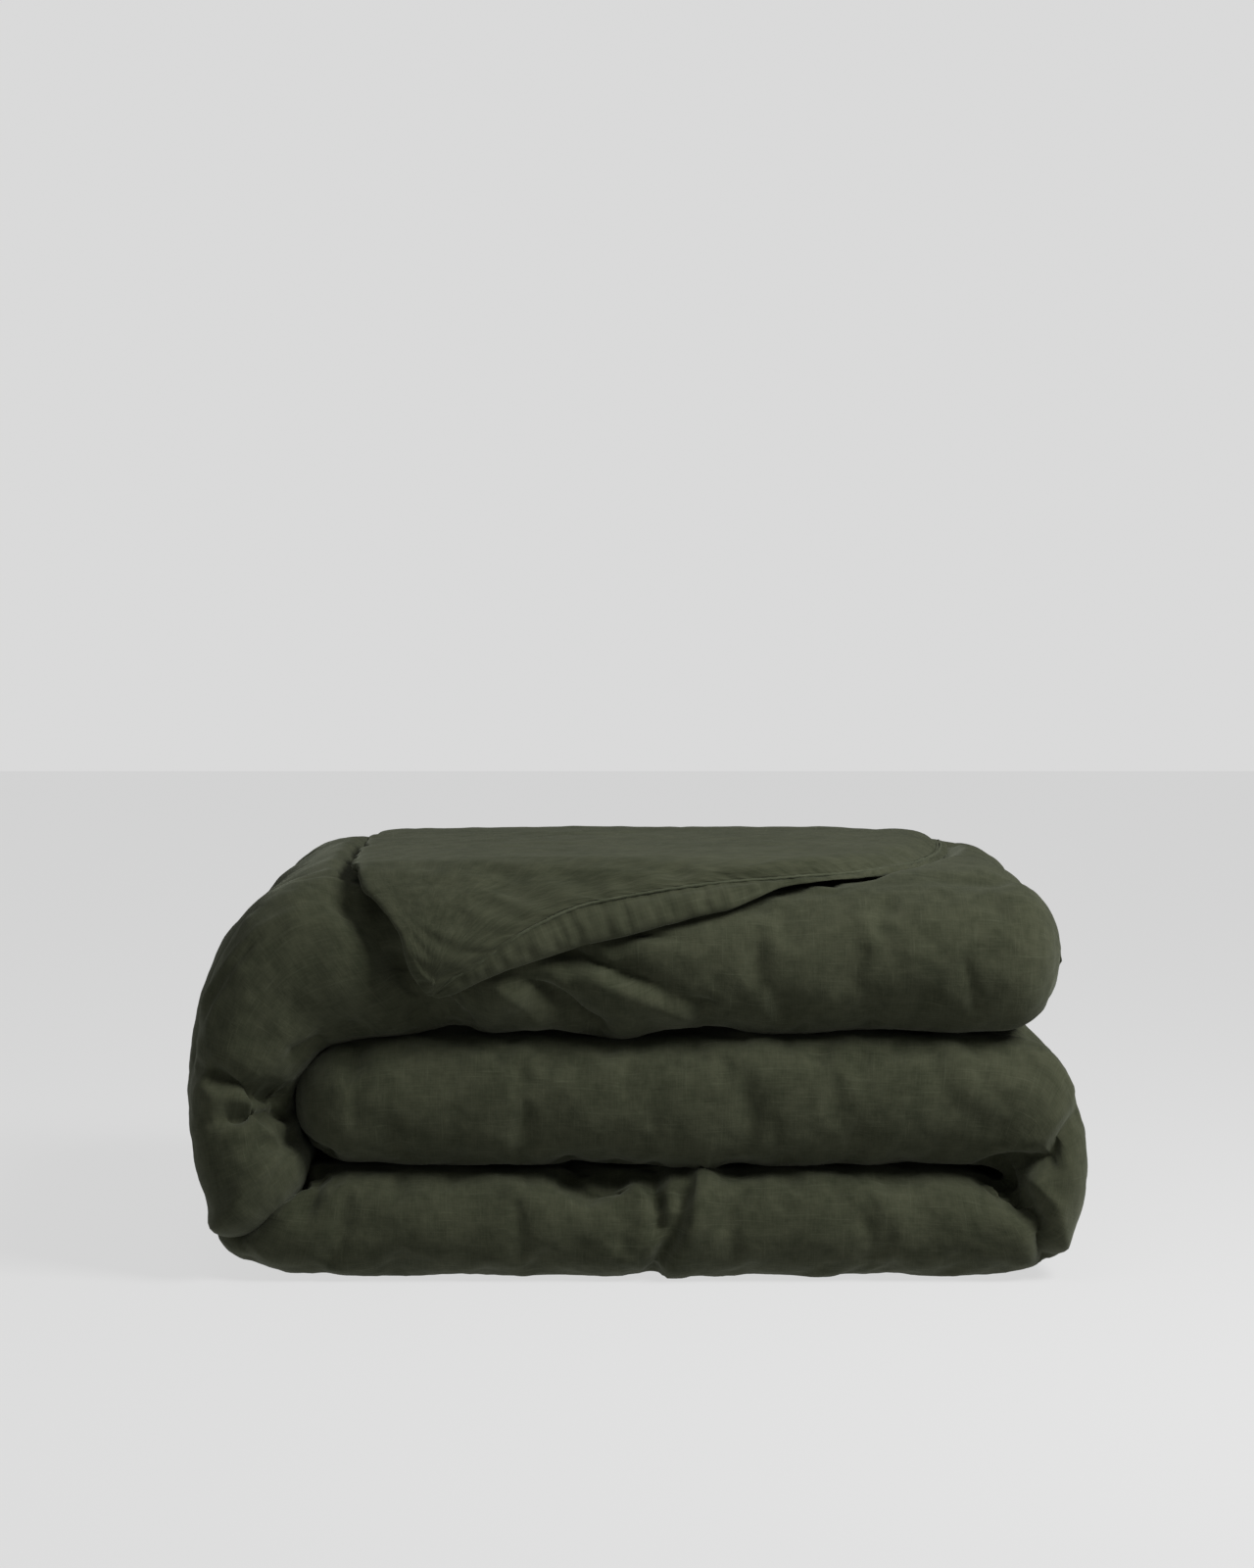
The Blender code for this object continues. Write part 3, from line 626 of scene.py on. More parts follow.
# ---
# The loose corner: it lies on the top third, bends over the front roll and hangs down to its tip.
corner = {
    "air": 0.0016,  # under it
    "tipAir": 0.0085,  # more under its tip
    "tipReach": 0.11,  # how far from the tip that goes
    "thick": 0.015,
    "fullReach": 0.04,  # how far from the tip it comes to its full thickness
    "crown": 0.18,  # how much thicker it is in the middle
    "rimRadius": 0.009,
    "rimColumns": (0, 0.0012, 0.003, 0.0056, 0.009),  # in from the left edge
    "seamReach": 0.03,  # how far the seam's lift is felt
    "backReach": 0.07,  # how far it closes towards its back edge
    "rowStep": 0.0034,
    "middleColumns": 44,
    "seamColumns": (0.02, 0.013, 0.0085, 0.0058, 0.004, 0.0026, 0.0012),  # back from the seam
    "bandColumns": 9,
    "underColumns": 18,
    "rollTop": 0.334,
    "rollMiddle": 0.271,
    "pucker": 0.0016,
    # places down the front roll: left edge x, z; seam x, z, lift off the roll; edge of the band under it x, z
    "hanging": [
        (-0.1745, 0.248, -0.169, 0.25, 0.006, -0.166, 0.2462),
        (-0.18, 0.2545, -0.156, 0.26, 0.01, -0.15, 0.2505),
        (-0.1875, 0.264, -0.135, 0.2725, 0.0125, -0.129, 0.259),
        (-0.194, 0.278, -0.11, 0.289, 0.0135, -0.101, 0.269),
        (-0.1995, 0.293, -0.08, 0.305, 0.0135, -0.068, 0.278),
        (-0.207, 0.305, -0.048, 0.318, 0.0135, -0.036, 0.286),
        (-0.215, 0.315, -0.01, 0.326, 0.013, 0.0, 0.2955),
        (-0.223, 0.324, 0.035, 0.333, 0.012, 0.043, 0.307),
        (-0.231, 0.332, 0.08, 0.3378, 0.01, 0.087, 0.3165),
    ],
    # places on the top: left edge x, y; seam x, y, lift
    "lying": [
        (-0.237, -0.212, 0.122, -0.223, 0.008),
        (-0.242, -0.198, 0.158, -0.208, 0.007),
        (-0.245, -0.175, 0.19, -0.183, 0.0075),
        (-0.2465, -0.14, 0.218, -0.148, 0.0085),
        (-0.247, -0.1, 0.24, -0.105, 0.0085),
        (-0.2475, -0.04, 0.26, -0.045, 0.0085),
        (-0.2475, 0.03, 0.274, 0.025, 0.0085),
        (-0.247, 0.1, 0.282, 0.098, 0.0085),
        (-0.245, 0.172, 0.285, 0.172, 0.0085),
    ],
}

# The front roll's own curve, from its top down: how far along, y, z, and the way out of it.
power = 2 / stack["rollPower"]
turns = np.linspace(math.pi / 2, -math.pi / 4, 160)
rollHalf = corner["rollTop"] - corner["rollMiddle"]
rollZ = corner["rollMiddle"] + rollHalf * np.sign(np.sin(turns)) * np.abs(np.sin(turns)) ** power
rollY = stack["frontY"] - upper["bulge"] * np.abs(np.cos(turns)) ** power
rollAlong = np.concatenate([[0], np.cumsum(np.hypot(np.diff(rollY), np.diff(rollZ)))])
rollSlopeY, rollSlopeZ = np.gradient(rollY, rollAlong), np.gradient(rollZ, rollAlong)
rollOutY, rollOutZ = rollSlopeZ, -rollSlopeY
rollOutY[0], rollOutZ[0] = 0, 1


# A place over the top third: x, how far from the roll's top (back over the top if negative), and the lift.
def overTop(x, along, lift):
    along, lift = np.asarray(along, float), np.asarray(lift, float)
    outY, outZ = np.interp(along, rollAlong, rollOutY), np.interp(along, rollAlong, rollOutZ)
    long = np.hypot(outY, outZ)
    y = np.interp(along, rollAlong, rollY) + np.maximum(-along, 0) + lift * outY / long
    z = np.interp(along, rollAlong, rollZ) + lift * outZ / long
    return np.stack([np.broadcast_to(x, y.shape), y, z], axis=-1)


# How far down the roll a lifted point has the given height.
def alongAt(z, lift):
    lifted = rollZ + lift * rollOutZ / np.hypot(rollOutY, rollOutZ)
    return float(np.interp(-z, -lifted, rollAlong))


def cornerRows():
    made = []
    for leftX, leftZ, seamX, seamZ, lift, bandX, bandZ in corner["hanging"]:
        seamAlong = alongAt(seamZ, lift)
        bandAlong = max(alongAt(bandZ, corner["air"]), seamAlong + 0.004)
        made.append((leftX, alongAt(leftZ, 0.008), seamX, seamAlong, lift, bandX, bandAlong))
    for leftX, leftY, seamX, seamY, lift in corner["lying"]:
        seamAlong = stack["frontY"] - seamY
        outX, outAlong = (0.003, 0.0075) if seamX < 0.27 else (0.0075, 0.0)
        leftAlong = stack["frontY"] - leftY
        made.append((leftX, leftAlong, seamX, seamAlong, lift, seamX + outX, seamAlong + outAlong))
    return made


# Closed rings across the corner, from its tip to its back edge. An inset gives the filling inside it.
def cornerRings(inset):
    rows = alongPath(cornerRows(), corner["rowStep"])
    reach = reachAlong(rows[:, 0:2])
    thick = corner["thick"] - 2 * inset
    rings = []
    for number, (leftX, leftAlong, seamX, seamAlong, lift, bandX, bandAlong) in enumerate(rows):
        tipLift = corner["tipAir"] * smoothStep(corner["tipReach"], 0.0, reach[number])
        air = corner["air"] + inset + tipLift
        left, seam = np.array((leftX, leftAlong)), np.array((seamX, seamAlong))
        band = np.array((bandX, bandAlong))
        wide = np.linalg.norm(seam - left)
        if inset:
            if wide < 14 * inset or reach[-1] - reach[number] < 3 * inset:
                continue
            run = (seam - left) / wide
            left, seam = left + run * 2.5 * inset, seam - run * 3.5 * inset
            band = seam + run * 0.002
            wide = np.linalg.norm(seam - left)
            lift = air + max(lift - corner["air"] - 2 * inset, 0.002)
        lift = lift + tipLift
        fullness = smoothStep(0, corner["fullReach"], reach[number]) * 0.45 + 0.55
        toBack = reach[-1] - reach[number]
        closing = 0.35 * min(1, toBack / corner["rimRadius"])
        closing += 0.65 * smoothStep(0, corner["backReach"], toBack)
        closing = math.sqrt(max(1 - (1 - closing) ** 2, 0.004)) * min(1, 0.55 + reach[number] / 0.02)
        rim = np.array(corner["rimColumns"]) * min(1, wide * 0.3 / corner["rimColumns"][-1])
        near = np.array(corner["seamColumns"]) * min(1, wide * 0.5 / corner["seamColumns"][0])
        middle = np.linspace(rim[-1], wide - near[0], corner["middleColumns"] + 2)[1:-1]
        away = np.concatenate([rim, middle, wide - near, [wide]])
        share = away / wide
        rounding = np.clip(away / corner["rimRadius"], 0, 1)
        rounding = np.sqrt(1 - (1 - rounding) ** 2) * closing
        crown = thick * fullness * (1 + corner["crown"] * np.sin(math.pi * share) * fullness)
        top = air + crown * (0.5 + 0.5 * rounding)
        toSeam = smoothStep(corner["seamReach"], 0.0, wide - away) ** 1.3
        endLift = air + (lift - air) * (0.5 + 0.5 * closing)
        top = top + (endLift - top) * toSeam
        places = left + (seam - left) * share[:, None]
        ring = [overTop(places[:, 0], places[:, 1], top)]
        share = np.arange(1, corner["bandColumns"] + 1) / corner["bandColumns"]
        places = seam + (band - seam) * share[:, None]
        fall = air + (endLift - air) * np.sqrt(np.maximum(1 - share**2.2, 0))
        ring.append(overTop(places[:, 0], places[:, 1], fall))
        share = np.linspace(0, 1, corner["underColumns"] + 2)[1:-1]
        places = band + (left - band) * share[:, None]
        away = np.linalg.norm(places - left, axis=1)
        rounding = np.sqrt(1 - (1 - np.clip(away / corner["rimRadius"], 0, 1)) ** 2) * closing
        under = air + thick * fullness * (0.5 - 0.5 * rounding) * (away < corner["rimRadius"] * 1.01)
        ring.append(overTop(places[:, 0], places[:, 1], under))
        rings.append(np.concatenate(ring))
    return np.array(rings)


coords = cornerRings(0)
seamColumn = len(corner["rimColumns"]) + corner["middleColumns"] + len(corner["seamColumns"])
seamLine = coords[:, seamColumn]
seamAt = reachAlong(seamLine)
# short gathers in the band, deepest half way down it
seamPlaces = np.outer(seamAt, (1, 0, 0))
strength = 0.35 + 0.65 * np.abs(wander(seamPlaces, 0.045, 31))
wave = np.sin(seamAt / 0.0022 + 1.6 * wander(seamPlaces, 0.03, 32))
for k in range(1, corner["bandColumns"]):
    share = k / corner["bandColumns"]
    deepest = corner["pucker"] * 0.9 * math.sin(math.pi * share) ** 0.6
    coords[:, seamColumn + k, 1] -= deepest * strength * wave
# the groove of the stitched line, and the welt: columns from the seam, and how high in millimetres
for k, high in ((-6, 0.2), (-5, 0.5), (-4, 0.2), (-3, -0.9), (-2, -0.2), (-1, 0.6), (1, -1.4), (2, -0.7)):
    raised = 0.001 * (high + 0.25 * wave * strength)
    coords[:, seamColumn + k, 1] -= raised * np.where(seamLine[:, 1] < -0.21, 1, 0.2)
    coords[:, seamColumn + k, 2] += raised * 0.5
cornerPiece = ringMesh("duvetLooseCorner", coords)
underStart = seamColumn + corner["bandColumns"]
held = np.zeros(coords.shape[:2])
held[:, underStart - 1:] = 1
held[:, seamColumn - 4: seamColumn + 2] = 0.9
cornerSettling = {"spare": 0.025, "pressure": 2.5, "bending": 0.6, "cap": 0.004, "frames": 14}
settle(cornerPiece, held.reshape(-1), cornerSettling)
cornerPoints = readPoints(cornerPiece).reshape(coords.shape)
cornerFilling = ringMesh("insertLooseCorner", cornerRings(0.0054))
subdivided(cornerPiece)
roughen(cornerPiece, [(0.06, 0.001, 33), (0.022, 0.0004, 34)])
keepInside(cornerFilling, cornerPiece, 0.003)

# The top third gives way under the corner, so that the corner lies on it.
outline = np.array(cornerRows())
order = np.argsort(outline[:, 1])
leftOf = (outline[order, 1], outline[order, 0])
order = np.argsort(outline[:, 6])
rightOf = (outline[order, 6], outline[order, 5])
points = readPoints(upperStack)
outer = np.flatnonzero((points[:, 2] > corner["rollMiddle"] - 0.045) & (points[:, 1] < 0.19))
outer = outer[(points[outer, 1] < stack["frontY"]) | (points[outer, 2] > 0.3)]
onFront = points[outer, 1] < stack["frontY"]
gaps = np.hypot(points[outer, 1][:, None] - rollY, points[outer, 2][:, None] - rollZ)
nearest = gaps.argmin(axis=1)
along = np.where(onFront, rollAlong[nearest], stack["frontY"] - points[outer, 1])
lengths = np.hypot(rollOutY, rollOutZ)
outY = np.where(onFront, (rollOutY / lengths)[nearest], 0)
outZ = np.where(onFront, (rollOutZ / lengths)[nearest], 1)
proud = (points[outer, 1] - rollY[nearest]) * outY + (points[outer, 2] - rollZ[nearest]) * outZ
proud = np.where(onFront, proud, points[outer, 2] - corner["rollTop"])
x = points[outer, 0]
inside = smoothStep(-0.02, 0.002, x - np.interp(along, *leftOf))
inside *= smoothStep(-0.02, 0.002, np.interp(along, *rightOf) - x)
inside *= smoothStep(outline[0, 1] + 0.04, outline[0, 1] + 0.008, along)
back = np.maximum(proud + 0.0012, 0) * inside
points[outer, 1] -= back * outY
points[outer, 2] -= back * outZ
writePoints(upperStack, points)
keepInside(upperFilling, upperStack, 0.01)
print("loose corner:", len(cornerPiece.data.vertices), "points")


# ---
# Even steps along a line of points.
def evenly(points, step):
    points = np.asarray(points, float)
    reach = reachAlong(points[:, :3])
    at = np.linspace(0, reach[-1], max(int(reach[-1] / step), 2) + 1)
    return np.stack([np.interp(at, reach, points[:, k]) for k in range(points.shape[1])], axis=1)


# Round or flattened tubes along lines of points, as one mesh.
def tubes(name, lines, radius, sides=8, flat=1.0, side=(0, 1, 0)):
    bm = bmesh.new()
    layer = bm.loops.layers.uv.new("cloth")
    for line in lines:
        line = np.asarray(line, float)
        ways = np.gradient(line, axis=0)
        ways /= np.linalg.norm(ways, axis=1)[:, None]
        rings = []
        for k, (point, way) in enumerate(zip(line, ways)):
            across = np.cross(way, side)
            across /= max(np.linalg.norm(across), 1e-9)
            out = np.cross(across, way)
            size = radius * (0.45 if k in (0, len(line) - 1) else 1)
            ring = []
            for turn in np.linspace(0, 2 * math.pi, sides, endpoint=False):
                away = math.cos(turn) * across * flat + math.sin(turn) * out
                ring.append(bm.verts.new(point + size * away))
            rings.append(ring)
        for k in range(len(rings) - 1):
            for j in range(sides):
                corners = ((k, j), (k, (j + 1) % sides), (k + 1, (j + 1) % sides), (k + 1, j))
                face = bm.faces.new([rings[a][b] for a, b in corners])
                for loop, (a, b) in zip(face.loops, corners):
                    loop[layer].uv = (a * 0.002, b * 0.001)
        for ring in (rings[0], rings[-1]):
            bm.faces.new(ring)
    bmesh.ops.recalc_face_normals(bm, faces=bm.faces)
    return meshObject(name, bm)


# Small stitches along a line of points. Outward is the way out of the cloth, and stand how far they come out.
def stitchRow(name, points, outward, stand, pitch, share, side, crown, radius):
    both = evenly(np.concatenate([points, outward], axis=1), pitch / 3)
    lines = []
    for k in range(0, len(both) - 3, 3):
        a, up = both[k, :3], both[k, 3:] * stand
        b = a + (both[k + 3, :3] - a) * share
        rise, fall = a * 0.8 + b * 0.2 + up * side, a * 0.2 + b * 0.8 + up * side
        lines.append([a - up, rise, (a + b) / 2 + up * crown, fall, b - up])
    return tubes(name, lines, radius, sides=5)


# The strips along the back: the head edge's seam and the foot opening's button hem.
edges = {
    "headSeam": {
        "share": 0.875, "near": 0.256, "far": 0.2708, "thick": 0.0024, "flutter": 0.0008, "stitchY": 0.2655,
    },
    "buttonHem": {
        "share": 0.625, "near": 0.23, "far": 0.2752, "thick": 0.003, "flutter": 0.0022, "stitchY": 0.244,
    },
    "stitchLong": 0.0026,
    "stitchGap": 0.0014,
    "stitchRadius": 0.00035,
}


# The middle of a strip in x and z, and the way out of the fold, at each station of a run of cover.
def edgeMiddle(rows, shrink, share):
    keep = shrink > 0.3
    rows, shrink = rows[keep], shrink[keep]
    across = rows[:, 2:4] - rows[:, 0:2]
    middle = rows[:, 0:2] + across * (0.5 + (share - 0.5) * shrink)[:, None]
    way = np.gradient(middle, axis=0)
    out = np.stack([way[:, 1], -way[:, 0]], axis=1)
    out *= np.sign((out * across).sum(axis=1))[:, None]
    return middle, out / np.linalg.norm(out, axis=1)[:, None]


def edgeStrip(name, rows, shrink, edge, seed):
    middle, out = edgeMiddle(rows, shrink, edge["share"])
    reach = reachAlong(middle)
    line = np.outer(reach, (1, 0, 0))
    sway, short = wander(line, 0.06, seed), wander(line, 0.022, seed + 1)
    across = [0, 0.15, 0.35, 0.55, 0.75, 0.92, 0.98, 1.0]
    half = edge["thick"] / 2
    profile = [(a, half * (1 if a < 0.95 else 0.8)) for a in across[:-1]] + [(1.0, 0)]
    profile += [(a, -half * (1 if a < 0.95 else 0.8)) for a in across[:-1][::-1]]
    coords = np.zeros((len(middle), len(profile), 3))
    for j, (a, off) in enumerate(profile):
        free = a**1.5
        lift = off + edge["flutter"] * free * (sway + 0.35 * short)
        near, far = edge["near"], edge["far"] + 0.0008 * short
        coords[:, j, 0] = middle[:, 0] + out[:, 0] * lift
        coords[:, j, 2] = middle[:, 1] + out[:, 1] * lift
        coords[:, j, 1] = near + (far - near) * a
    strip = ringMesh(name, coords)
    at = np.interp(edge["stitchY"], [edge["near"], edge["far"]], [0, 1])
    lift = half + edge["flutter"] * at**1.5 * (sway + 0.35 * short)
    seam = middle + out * lift[:, None]
    seam = np.stack([seam[:, 0], np.full(len(seam), edge["stitchY"]), seam[:, 1]], axis=1)
    outs = np.stack([out[:, 0], out[:, 0] * 0, out[:, 1]], axis=1)
    pitch = edges["stitchLong"] + edges["stitchGap"]
    share = edges["stitchLong"] / pitch
    row = stitchRow(name + "Stitches", seam, outs, 0.0005, pitch, share, 0.4, 0.6, edges["stitchRadius"])
    subdivided(strip)
    return strip, row


headLower, headLowerStitches = edgeStrip("headSeamLower", lowerRows, lowerShrink, edges["headSeam"], 41)
headUpper, headUpperStitches = edgeStrip("headSeamUpper", upperRows, upperShrink, edges["headSeam"], 43)
hemLower, hemLowerStitches = edgeStrip("buttonHemLower", lowerRows, lowerShrink, edges["buttonHem"], 45)
hemUpper, hemUpperStitches = edgeStrip("buttonHemUpper", upperRows, upperShrink, edges["buttonHem"], 47)
print("back edges done")

# The welt along the hanging corner's seam, and its row of stitches.
welt = evenly(cornerPoints[2:-4, seamColumn], 0.0022)
cornerSeam = tubes("cornerSeam", [welt], 0.0013, sides=8, flat=0.8, side=(0, 0, 1))
hangs = cornerPoints[4:-6, :1, 1] < -0.215  # where the seam has bent over the front
outward = np.where(hangs, 1, 0) * np.array([[0, -0.0004, 0.0002]]) + np.array([[0, 0, 0.0003]])
stitched = cornerPoints[4:-6, seamColumn - 3]
cornerStitches = stitchRow("cornerStitches", stitched, outward, 1.0, 0.0042, 0.65, 1.0, 1.3, 0.00038)

# ---
# Buttons on the button hem: a dished disc with a raised rim, four holes and a crossed thread.
button = {
    "radius": 0.0085,
    "thick": 0.0032,
    "holeRadius": 0.0011,
    "holeReach": 0.0022,
    "threadRadius": 0.00045,
    "middleY": 0.2586,
    # its third and place in it, the run of cover, x, and about which height
    "places": [
        ("bottom_1", "lower", -0.1116, 0.04), ("bottom_2", "lower", 0.1568, 0.04),
        ("middle_1", "lower", -0.1116, 0.17), ("middle_2", "lower", 0.1568, 0.17),
        ("top_1", "upper", -0.1116, 0.29), ("top_2", "upper", 0.1568, 0.29),
    ],
}


def buttonMesh():
    half = button["thick"] / 2
    profile = [
        (0, -half), (0.006, -half), (0.0077, -half * 0.7), (button["radius"], 0), (0.0083, half * 0.7),
        (0.0074, half), (0.0064, half * 0.85), (0.0054, half * 0.3), (0, half * 0.15),
    ]
    bm = bmesh.new()
    turns = np.linspace(0, 2 * math.pi, 40, endpoint=False)
    rings = []
    for radius, z in profile:
        count = 1 if radius == 0 else len(turns)
        rings.append([bm.verts.new((radius * math.cos(t), radius * math.sin(t), z)) for t in turns[:count]])
    for low, high in zip(rings, rings[1:]):
        for j in range(len(turns)):
            after = (j + 1) % len(turns)
            corners = [low[0]] if len(low) == 1 else [low[j], low[after]]
            corners += [high[0]] if len(high) == 1 else [high[after], high[j]]
            bm.faces.new(corners)
    bmesh.ops.recalc_face_normals(bm, faces=bm.faces)
    body = meshObject("buttonBlank", bm)
    bm = bmesh.new()
    for x, y in ((1, 1), (1, -1), (-1, 1), (-1, -1)):
        place = Matrix.Translation((x * button["holeReach"], y * button["holeReach"], 0))
        bmesh.ops.create_cone(
            bm, cap_ends=True, segments=14, radius1=button["holeRadius"], radius2=button["holeRadius"],
            depth=button["thick"] * 3, matrix=place,
        )
    drill = meshObject("drill", bm)
    cut = body.modifiers.new("holes", "BOOLEAN")
    cut.operation, cut.solver, cut.object = "DIFFERENCE", "EXACT", drill
    bpy.context.view_layer.objects.active = body
    bpy.ops.object.modifier_apply(modifier="holes")
    bpy.data.objects.remove(drill)
    made = body.data
    bpy.data.objects.remove(body)
    return made


runs = {"lower": (lowerRows, lowerShrink), "upper": (upperRows, upperShrink)}
blank = buttonMesh()
buttons = []
for name, run, x, z in button["places"]:
    middle, out = edgeMiddle(*runs[run], edges["buttonHem"]["share"])
    k = int(np.argmin(np.hypot(middle[:, 0] - x, middle[:, 1] - z)))
    up = Vector((out[k, 0], 0, out[k, 1]))
    lift = edges["buttonHem"]["thick"] / 2 + button["thick"] / 2 + 0.0012
    place = Vector((middle[k, 0], button["middleY"], middle[k, 1])) + up * lift
    turn = up.to_track_quat("Z", "Y").to_matrix().to_4x4()
    made = bpy.data.objects.new("button_" + name, blank.copy())
    made.data.transform(Matrix.Translation(place) @ turn)
    scene.collection.objects.link(made)
    lines = []
    reach, top = button["holeReach"], button["thick"] * 0.5
    for ends in (((1, 1), (-1, -1)), ((1, -1), (-1, 1))):
        (ax, ay), (bx, by) = ends
        points = [
            (ax, ay, -1.1), (ax, ay, -0.2), (ax * 0.9, ay * 0.9, 0.45), (0, 0, 0.65),
            (bx * 0.9, by * 0.9, 0.45), (bx, by, -0.2), (bx, by, -1.1),
        ]
        put = Matrix.Translation(place) @ turn
        line = [put @ Vector((px * reach, py * reach, pz * top)) for px, py, pz in points]
        lines.append(evenly([tuple(point) for point in line], 0.0007))
    across = tuple(up.cross((1, 0.3, 0)))
    thread = tubes("buttonThread_" + name, lines, button["threadRadius"], sides=6, side=across)
    buttons.append((made, thread, run, name))
print("buttons done")

# Ties of tape that hold the filling in its cover, inside the corners: a loop and two tails.
ties = {
    "tapeHalf": 0.003,
    "flat": 0.22,
    "places": [
        ("corner_tie_middle_foot", "base", (-0.2458, 0.2044, 0.152)),
        ("corner_tie_middle_head", "base", (-0.2458, 0.2267, 0.185)),
        ("corner_tie_top_foot", "top_third", (0.3131, 0.2044, 0.276)),
        ("corner_tie_flap", "corner_flap", (-0.15, -0.269, 0.264)),
    ],
}
tieObjects = []
for name, body, place in ties["places"]:
    turnsRound = np.linspace(0.3, 2 * math.pi - 0.3, 22)
    x, y, z = place
    size = 0.01 if body != "corner_flap" else 0.006
    loop = [(x + size * (math.cos(t) - 0.6), y, z + 0.35 * size * math.sin(t)) for t in turnsRound]
    tails = [
        [(x + size * (0.3 + 0.12 * k), y, z + sign * size * 0.05 * k) for k in range(9)]
        for sign in (1, -1)
    ]
    tape = tubes("cornerTie_" + name, [loop, *tails], ties["tapeHalf"] * size / 0.01, 8, ties["flat"])
    tieObjects.append((tape, name, body))


# ---
# A value or colour in a material's nodes, so that sums and products of values add their own Math nodes.
class Wire:
    def __init__(self, tree, socket=None):
        self.tree, self.socket = tree, socket

    def node(self, kind, settings=None, inputs=None, out=0):
        made = self.tree.nodes.new(kind)
        for key, value in (settings or {}).items():
            if key == "stops":
                while len(made.color_ramp.elements) < len(value):
                    made.color_ramp.elements.new(0.5)
                for element, (place, colour) in zip(made.color_ramp.elements, value):
                    element.position, element.color = place, (*colour, 1)
            else:
                setattr(made, key, value)
        for key, value in (inputs or {}).items():
            if isinstance(value, Wire):
                self.tree.links.new(value.socket, made.inputs[key])
            else:
                made.inputs[key].default_value = value
        return Wire(self.tree, made.outputs[out])

    def into(self, socket):
        self.tree.links.new(self.socket, socket)

    def math(self, operation, left, right):
        return self.node("ShaderNodeMath", {"operation": operation}, {0: left, 1: right})

    def __add__(self, other):
        return self.math("ADD", self, other)

    def __radd__(self, other):
        return self.math("ADD", other, self)

    def __sub__(self, other):
        return self.math("SUBTRACT", self, other)

    def __rsub__(self, other):
        return self.math("SUBTRACT", other, self)

    def __mul__(self, other):
        return self.math("MULTIPLY", self, other)

    def __rmul__(self, other):
        return self.math("MULTIPLY", other, self)


# A new material, and its shader's sockets.
def newFinish(name):
    made = bpy.data.materials.new(name)
    made.use_nodes = True
    return made, made.node_tree.nodes["Principled BSDF"].inputs


# Plain-woven washed cloth: crossing threads, thick slubs, soft clouds of shade and a fuzz that shines softly.
def clothFinish(name, finish):
    made, sockets = newFinish(name)
    start = Wire(made.node_tree)
    place = start.node("ShaderNodeUVMap", {"uv_map": "cloth"})

    def noise(scale, detail=2.0, roughness=0.5):
        mapped = start.node("ShaderNodeMapping", {}, {"Vector": place, "Scale": scale})
        settings = {"Scale": 1.0, "Detail": detail, "Roughness": roughness}
        return start.node("ShaderNodeTexNoise", {}, {"Vector": mapped, **settings})

    def ramp(value, low, high):
        return start.node("ShaderNodeMapRange", {"clamp": True}, {0: value, 1: low, 2: high, 3: 0.0, 4: 1.0})

    thread = 1 / finish["thread"]
    warp = noise((thread, thread / 14, 1))
    weft = noise((thread / 14, thread, 1))
    slubLong = ramp(noise((thread / 40, thread / 2.2, 1), 1.0), 0.6, 0.78)
    slubAcross = ramp(noise((thread / 2.2, thread / 40, 1), 1.0), 0.62, 0.8)
    cloud = noise((14.0, 14.0, 1), 3.0, 0.55)
    rub = noise((75.0, 75.0, 1), 3.0, 0.6)
    fibre = noise((520.0, 520.0, 1), 2.0, 0.6)
    fine = (warp + weft) * 0.5
    slubs = start.math("MAXIMUM", slubLong, slubAcross)
    uneven = (cloud - 0.5) * finish["clouds"] + (rub - 0.5) * finish["rub"] + (fine - 0.5) * finish["weave"]
    shade = ramp(uneven + 0.5, 0.0, 1.0)

    def mixed(amount, first, second):  # 0, 6 and 7 are the factor and the two colours, and 2 the mixed colour
        settings = {"data_type": "RGBA", "blend_type": "MIX"}
        return start.node("ShaderNodeMix", settings, {0: amount, 6: first, 7: second}, 2)

    colour = mixed(shade, (*finish["dark"], 1), (*finish["light"], 1))
    colour = mixed(slubs * finish["slubShow"], colour, (*finish["slub"], 1))
    roughness = 0.98 - ramp(fine, 0.3, 0.7) * 0.1
    height = fine * 0.55 + slubs * 0.5 + fibre * 0.25
    raised = {"Strength": finish["bump"], "Distance": finish["bumpHeight"], "Height": height}
    bump = start.node("ShaderNodeBump", {}, raised)
    rumpled = {"Strength": 0.5, "Distance": 0.0016, "Height": rub, "Normal": bump}
    soft = start.node("ShaderNodeBump", {}, rumpled)
    colour.into(sockets["Base Color"])
    roughness.into(sockets["Roughness"])
    soft.into(sockets["Normal"])
    sockets["Specular IOR Level"].default_value = 0.12
    sockets["Sheen Weight"].default_value = finish["sheen"]
    sockets["Sheen Roughness"].default_value = 0.55
    sockets["Sheen Tint"].default_value = (*finish["sheenTint"], 1)
    return made


def buttonFinish(name, dark, light):
    made, sockets = newFinish(name)
    start = Wire(made.node_tree)
    place = start.node("ShaderNodeTexCoord", {}, {}, 3)
    streaks = {"Vector": place, "Scale": 260.0, "Detail": 4.0, "Distortion": 1.2}
    grain = start.node("ShaderNodeTexNoise", {}, streaks)
    veins = start.node("ShaderNodeValToRGB", {"stops": [(0.35, dark), (0.65, light)]}, {0: grain})
    roughness = 0.34 + (grain - 0.5) * 0.25
    veins.into(sockets["Base Color"])
    roughness.into(sockets["Roughness"])
    return made


